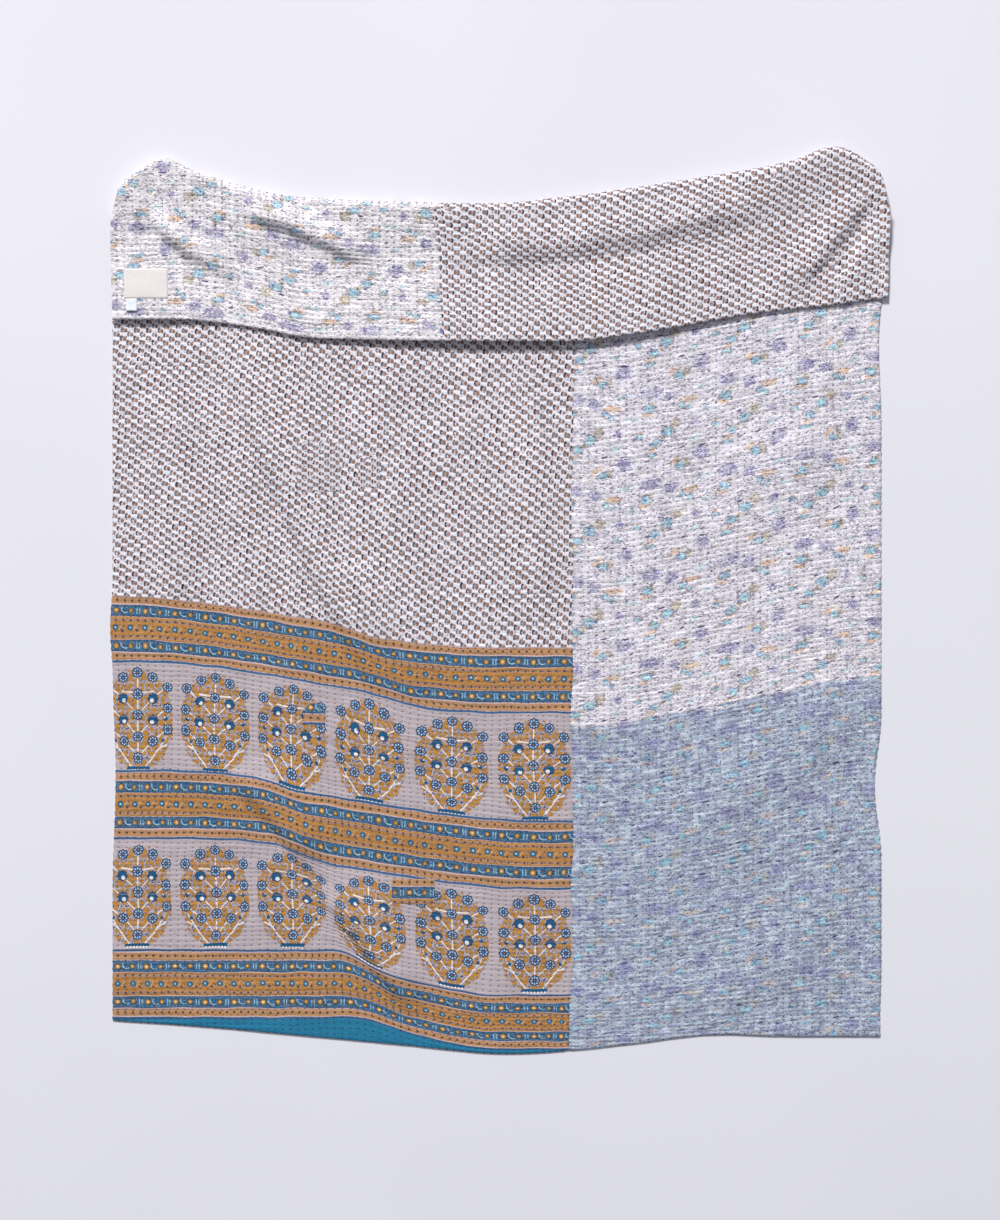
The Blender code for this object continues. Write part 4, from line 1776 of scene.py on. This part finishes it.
    def grid(self) -> Grid:
        """Lay the panel on the folded sheet.

        Returns:
            The panel's grid of points.
        """
        columns = self.columns()
        is_face = self.side is Side.FACE
        rows = self.face_rows(columns) if is_face else self.reverse_rows(columns)
        base = np.concatenate([FORM.points(row.zone, row.across, row.value) for row in rows])
        inward = np.cross(np.gradient(base, axis=1), np.gradient(base, axis=0))
        inward /= np.linalg.norm(inward, axis=-1, keepdims=True)
        across = np.broadcast_to(columns, base.shape[:2])
        sewn = np.concatenate([row.sewn for row in rows])
        pucker = np.concatenate([row.pucker for row in rows])
        meet = np.concatenate([self.meeting(row) for row in rows])
        from_end = np.concatenate([row.from_end for row in rows])
        free = np.clip(np.minimum(from_end, self.from_side(across)) / 0.003, 0.0, 1.0)
        rounded = np.sqrt(np.maximum(1.0 - (1.0 - free) ** 2, 0.0))
        relief = pucker * self.strength * STITCHES.relief(across, sewn, self.drag)
        relief = relief - self.seam.depth(across)
        if is_face:
            offset = meet + (FULL - meet) * rounded + relief
        else:
            hidden = np.concatenate([self.hidden_share(row) for row in rows])
            lying = 0.0006 * (1.0 - hidden)
            offset = meet + (lying - meet) * rounded - relief * (1.0 - hidden)
        points = base + inward * offset[..., None]
        cloth = np.stack([across, np.concatenate([row.cloth for row in rows])], axis=-1)
        sewing = np.stack([across, sewn], axis=-1)
        outward = inward if is_face else -inward
        return Grid(points, outward, cloth, sewing, facing_up=is_face)

    @staticmethod
    def meeting(row: Stretch) -> Array:
        """How far into the quilt's thickness the two sides meet at its edges."""
        if row.zone is Zone.FOLD:
            return BODY_MEET + (FLAP_MEET - BODY_MEET) * row.value
        meet = BODY_MEET if row.zone is Zone.BODY else FLAP_MEET
        return np.full(row.value.shape, meet)

    @staticmethod
    def hidden_share(row: Stretch) -> Array:
        """How much of a reverse row lies against the surface below."""
        if row.zone is Zone.FOLD:
            return 1.0 - eased(row.value * 2.0)
        return np.full(row.value.shape, 1.0 if row.zone is Zone.BODY else 0.0)


@dataclass(frozen=True)
class Arch:
    """A patch's outline: a rectangle, or one with a rounded top.

    Args:
        centre: The middle, across and along the quilt.
        size: Its width and its height.
        roundness: 0 for a straight top, 1 for a full arch.
        turn: How far it is turned, in radians.
    """

    centre: Point
    size: Point
    roundness: float = 0.0
    turn: float = 0.0

    def places(self, across_share: Array, up_share: Array) -> tuple[Array, Array]:
        """Places in the patch, from its centre, before it is turned.

        Args:
            across_share: Shares of its width, from -0.5 to 0.5.
            up_share: Shares of its height, from 0 to 1.

        Returns:
            Distances to the right and up from its centre.
        """
        width, height = self.size
        top = 1.0 - self.roundness * (1.0 - np.sqrt(1.0 - (1.96 * across_share) ** 2))
        return width * across_share, height * (up_share * top - 0.5)


@dataclass(frozen=True)
class Patch:
    """A small piece of cotton sewn down on the face."""

    name: str
    outline: Arch
    finish: Cotton
    stand: float = 0.0009
    cell: float = 0.0028

    def grid(self) -> Grid:
        """Lay the patch on the face, with its edges turned down into it."""
        width, height = self.outline.size
        across_share = self.shares(width) - 0.5
        up_share = self.shares(height)
        share_x, share_y = np.meshgrid(across_share, up_share)
        right, up = self.outline.places(share_x, share_y)
        turn = self.outline.turn
        across = self.outline.centre[0] + right * math.cos(turn) - up * math.sin(turn)
        along = self.outline.centre[1] + right * math.sin(turn) + up * math.cos(turn)
        cloth = WEAVE.distance(across.mean(axis=0), along.T).T
        sewn = cloth - STITCHES.wander * STITCHES.row_wander.at(across, cloth)
        column = across - STITCHES.wander * STITCHES.column_wander.at(across, cloth)
        base = FORM.points(Zone.BODY, across, along)
        inward = np.cross(np.gradient(base, axis=1), np.gradient(base, axis=0))
        inward /= np.linalg.norm(inward, axis=-1, keepdims=True)
        edge = np.minimum(0.5 - np.abs(share_x), np.minimum(share_y, 1.0 - share_y))
        edge = edge * min(width, height)
        stand = self.stand * np.sqrt(np.clip(edge / 0.0015, 0.0, 1.0)) - 0.0003
        offset = FULL + stand + STITCHES.relief(column, sewn, 0.0)
        points = base + inward * offset[..., None]
        placed = np.stack([right, up], axis=-1)
        return Grid(points, inward, placed, np.stack([column, sewn], axis=-1))

    def shares(self, length: float) -> Array:
        """Shares of a side from 0 to 1, closer at its ends."""
        cells = round(length / self.cell)
        inner = np.linspace(0.0014, length - 0.0014, cells) / length
        return np.concatenate([[0.0, 0.0006 / length], inner, [1.0 - 0.0006 / length, 1.0]])


@dataclass(frozen=True)
class SewnTag:
    """A small label sewn on the flap.

    Args:
        name: The piece's name.
        node: The solid that it stands for.
        slot: Not used.
        finish: Its material.
        centre: Its middle, across and along the quilt.
        size: Its width and its height.
        lift: How far its lower edge stands up from the flap.
    """

    name: str
    node: str
    slot: str
    finish: Tape
    centre: Point
    size: Point
    lift: float = 0.0
    stand: float = 0.0016

    def grid(self) -> Grid:
        """Lay the tag on the flap, its edge sinking between the stitches."""
        width, height = self.size
        across_shares = np.linspace(0.0, 1.0, 2 * round(width / 0.003) + 1)
        up_shares = np.linspace(0.0, 1.0, 2 * round(height / 0.003) + 1)
        share_x, share_y = np.meshgrid(across_shares, up_shares)
        right = width * (share_x - 0.5)
        up = height * (share_y - 0.5)
        across = self.centre[0] + right
        along = self.centre[1] + up
        base = FORM.points(Zone.FLAP, across, along)
        upward = np.cross(np.gradient(base, axis=1), np.gradient(base, axis=0))
        upward /= np.linalg.norm(upward, axis=-1, keepdims=True)
        edge = np.minimum(0.5 * width - np.abs(right), 0.5 * height - np.abs(up))
        rounded = np.sqrt(np.clip(edge / 0.0015, 0.0, 1.0))
        tacks = 0.5 + 0.5 * np.cos(2.0 * math.pi * (right + up) / 0.0035)
        sunk = 0.0005 * hump(edge - 0.0025, 0.0015) * tacks
        curl = self.lift * (1.0 - share_y) ** 2
        buckle = 0.0003 * STITCHES.swell.at(across * 3.0, along * 3.0)
        offset = self.stand * (0.15 + 0.85 * rounded) - sunk + buckle * rounded + curl
        points = base + upward * offset[..., None]
        placed = np.stack([right, up], axis=-1)
        return Grid(points, upward, placed, placed)


@dataclass(frozen=True)
class Stitches:
    """The running stitches of one sheet, each a small bead of thread."""

    half_length: float = 0.0014
    half_width: float = 0.0009
    half_height: float = 0.0005
    stand: float = 0.0002
    skipped: float = 0.03
    seed: int = 21

    def places(self, grid: Grid, clear: float) -> tuple[Array, Array, Array]:
        """Where the stitches are on a sheet.

        Args:
            grid: The sheet.
            clear: How far they keep from its ends and sides.

        Returns:
            Their middles, the way they run and the way the sheet faces there.
        """
        random = np.random.default_rng(self.seed)
        shown = grid.sewn[..., 1]
        low = shown.min() + clear
        high = min(shown.max(), 1.165) - clear
        rows = np.arange(math.ceil(low / STITCHES.row_pitch), high // STITCHES.row_pitch + 1)
        points, normals = grid.along_rows(rows * STITCHES.row_pitch)
        columns = grid.sewn.mean(axis=0)[:, 0]
        found = [[], [], []]
        for index, row in enumerate(rows):
            start = float(STITCHES.row_start(np.array(row)))
            first = math.ceil((columns[0] + clear - start) / STITCHES.stitch_pitch)
            last = math.floor((columns[-1] - clear - start) / STITCHES.stitch_pitch)
            along = np.arange(first, last + 1) * STITCHES.stitch_pitch + start
            along = along + random.normal(0.0, 0.0005, len(along))
            along = along[random.random(len(along)) > self.skipped]
            if not len(along):
                continue
            before = self.at(along - 0.001, columns, points[index])
            after = self.at(along + 0.001, columns, points[index])
            found[0].append(self.at(along, columns, points[index]))
            found[1].append(after - before)
            found[2].append(self.at(along, columns, normals[index]))
        middles, runs, facing = (np.concatenate(part) for part in found)
        runs /= np.linalg.norm(runs, axis=-1, keepdims=True)
        facing /= np.linalg.norm(facing, axis=-1, keepdims=True)
        return middles, runs, facing

    @staticmethod
    def at(places: Array, columns: Array, values: Array) -> Array:
        """Values between the columns of one row."""
        return np.stack([np.interp(places, columns, line) for line in values.T], axis=-1)

    def build(self, name: str, found: tuple[Array, Array, Array]) -> bpy.types.Object:
        """Make one mesh of all the stitches, each with eight faces.

        Args:
            name: The piece's name.
            found: The stitches' middles, the way they run and the way they face.

        Returns:
            The new object.
        """
        middles, runs, facing = found
        sides = np.cross(facing, runs)
        middles = middles + facing * self.stand
        ends = [
            middles + runs * self.half_length,
            middles + sides * self.half_width,
            middles - runs * self.half_length,
            middles - sides * self.half_width,
            middles + facing * self.half_height,
            middles - facing * self.half_height,
        ]
        points = np.stack(ends, axis=1).reshape(-1, 3)
        round_top = [(0, 1, 4), (1, 2, 4), (2, 3, 4), (3, 0, 4)]
        round_foot = [(1, 0, 5), (2, 1, 5), (3, 2, 5), (0, 3, 5)]
        bead = np.array(round_top + round_foot)
        faces = (np.arange(len(middles))[:, None, None] * 6 + bead).reshape(-1, 3)
        mesh = bpy.data.meshes.new(name)
        mesh.from_pydata(points.tolist(), [], faces.tolist())
        mesh.polygons.foreach_set("use_smooth", [True] * len(mesh.polygons))
        mesh.update()
        piece = bpy.data.objects.new(name, mesh)
        bpy.context.scene.collection.objects.link(piece)
        return piece


# ---------------------------------------------------------------------------
# The quilt.
# ---------------------------------------------------------------------------


@dataclass(frozen=True)
class KanthaQuilt:
    """The whole quilt: four panels, four patches, two tags and the stitching."""

    panels: tuple[tuple[Panel, Cotton, Point], ...] = (
        (
            Panel("face_block_print", Side.FACE, FORM.left, 0.122, FACE_SEAM),
            FaceBlockPrint(),
            (0.76, 1.63),
        ),
        (
            Panel("face_floral", Side.FACE, 0.122, FORM.flap_right, FACE_SEAM, 1.1, 0.5),
            FaceFloral(),
            (0.52, 1.63),
        ),
        (
            Panel("reverse_floral", Side.REVERSE, FORM.left, -0.100, REVERSE_SEAM, 1.25),
            FlapFloral(),
            (0.54, 1.63),
        ),
        (
            Panel("reverse_small_print", Side.REVERSE, -0.100, FORM.flap_right, REVERSE_SEAM),
            FlapSmallPrint(),
            (0.74, 1.63),
        ),
    )
    patches: tuple[Patch, ...] = (
        Patch(
            "patch_large",
            Arch((-0.298, 0.219), (0.070, 0.083)),
            PatchSmallPrint(),
        ),
        Patch(
            "patch_small",
            Arch((-0.214, 0.2095), (0.037, 0.052)),
            PatchSmallPrint("patch_small_print_close", shift=(1.3, 8.7), grow=1.16),
        ),
        Patch(
            "patch_round",
            Arch((-0.3045, -0.188), (0.038, 0.036), 0.62, -0.03),
            PatchBorder("patch_border_round", middle=40.0),
        ),
        Patch(
            "patch_oblong",
            Arch((-0.1415, -0.4805), (0.0715, 0.042)),
            PatchBorder("patch_border_oblong", middle=-31.0),
        ),
    )
    tags: tuple[SewnTag, ...] = (
        SewnTag(
            "maker_tape",
            "label",
            "label_cotton",
            Tape("label_tape", ink(238, 232, 230), ink(222, 214, 214), 0.78, 0.2),
            (-0.580, 0.5205),
            (0.071, 0.049),
        ),
        SewnTag(
            "wash_tape",
            "care_tag",
            "care_tag_satin",
            Tape("care_satin", ink(240, 240, 244), ink(205, 218, 232), 0.45, 0.1, 5.5),
            (-0.604, 0.4852),
            (0.018, 0.0205),
            lift=0.0025,
        ),
    )

    def build(self) -> None:
        thread = Thread().material()
        stitches = Stitches()
        for panel, finish, flat in self.panels:
            grid = panel.grid()
            piece = grid.build(panel.name, finish.material())
            self.declare(piece, flat, "folded", [])
            places = stitches.places(self.shown(panel, grid), 0.004)
            self.sew(stitches.build(f"{panel.name}_stitches", places), thread)
        for patch in self.patches:
            grid = patch.grid()
            piece = grid.build(patch.name, patch.finish.material())
            self.declare(piece, patch.outline.size, "laid", ["face_block_print"])
            places = stitches.places(grid, 0.003)
            self.sew(stitches.build(f"{patch.name}_stitches", places), thread)
        for tag in self.tags:
            piece = tag.grid().build(tag.name, tag.finish.material())
            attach(piece, BODY)
            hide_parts(tag.node)
            LOG.info("%s: %d faces", piece.name, len(piece.data.polygons))

    @staticmethod
    def shown(panel: Panel, grid: Grid) -> Grid:
        """The rows of a panel's grid that its stitches are seen on."""
        if panel.side is Side.FACE:
            rows = slice(0, np.searchsorted(grid.sewn[:, 0, 1], 1.165))
        else:
            rows = slice(np.argmax(grid.points[:, 0, 2] > 0.012), None)
        return Grid(grid.points[rows], grid.normals[rows], grid.cloth[rows], grid.sewn[rows])

    @staticmethod
    def declare(piece: bpy.types.Object, flat: Point, held: str, rests_on: list[str]) -> None:
        """Attach a piece of the quilt's cotton to its body, hide the solid quilt and log its faces.
        """
        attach(piece, BODY)
        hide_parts("quilt")
        LOG.info("%s: %d faces", piece.name, len(piece.data.polygons))

    @staticmethod
    def sew(piece: bpy.types.Object, thread: bpy.types.Material) -> None:
        """Dress a mesh of stitches and let it ride with the quilt."""
        piece.data.materials.append(thread)
        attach(piece, BODY)
        LOG.info("%s: %d faces", piece.name, len(piece.data.polygons))


@dataclass(frozen=True)
class Studio:
    """A pale floor, a soft light from beyond the fold and a camera straight above."""

    floor_size: float = 12.0
    camera_place: tuple[float, float, float] = (0.0016, -0.0165, 4.75)
    lens: float = 85.0
    sensor: float = 36.0
    key_power: float = 3980.0
    key_place: tuple[float, float, float] = (-4.0, 14.0, 12.0)
    key_size: float = 3.6
    ambient: float = 0.29

    def build(self) -> None:
        """Set up the floor, the lights, the world and the camera."""
        self.floor()
        self.lights()
        camera = bpy.data.cameras.new("camera")
        camera.lens = self.lens
        camera.sensor_width = self.sensor
        camera.sensor_fit = "VERTICAL"
        camera.sensor_height = self.sensor
        holder = bpy.data.objects.new("camera", camera)
        holder.location = self.camera_place
        bpy.context.scene.collection.objects.link(holder)
        bpy.context.scene.camera = holder
        bpy.context.scene.view_settings.view_transform = "Standard"

    def floor(self) -> None:
        """Lay the floor."""
        bpy.ops.object.select_all(action="DESELECT")
        bpy.ops.mesh.primitive_plane_add(size=self.floor_size, location=(0.0, 0.0, -0.0004))
        floor = bpy.context.active_object
        floor.name = "studio_floor"
        made = bpy.data.materials.new("studio_floor")
        made.use_nodes = True
        sketch = Sketch(made.node_tree)
        place = Wire(sketch, sketch.node("ShaderNodeTexCoord", {}).outputs["Object"])
        cloudy = sketch.noise(place, 1.3, 2.0)
        colour = sketch.paint(cloudy, ink(228, 228, 237), ink(236, 236, 244))
        shader = made.node_tree.nodes["Principled BSDF"]
        sketch.feed(shader.inputs["Base Color"], colour)
        shader.inputs["Roughness"].default_value = 0.8
        floor.data.materials.append(made)

    def lights(self) -> None:
        """Hang the key light and set the pale surroundings."""
        light = bpy.data.lights.new("key", "AREA")
        light.energy = self.key_power
        light.size = self.key_size
        light.color = (1.0, 0.985, 0.97)
        key = bpy.data.objects.new("key", light)
        key.location = self.key_place
        key.rotation_euler = Vector(self.key_place).to_track_quat("Z", "Y").to_euler()
        bpy.context.scene.collection.objects.link(key)
        world = bpy.data.worlds.new("surroundings")
        world.use_nodes = True
        backdrop = world.node_tree.nodes["Background"]
        backdrop.inputs["Color"].default_value = (0.90, 0.92, 1.0, 1.0)
        backdrop.inputs["Strength"].default_value = self.ambient
        bpy.context.scene.world = world


def main() -> None:
    """Build the quilt and the studio, and log that the studio is ready."""
    logging.basicConfig(level=logging.INFO, format="%(name)s: %(message)s")
    KanthaQuilt().build()
    Studio().build()
    LOG.info("studio ready")


if __name__ == "__main__":
    main()
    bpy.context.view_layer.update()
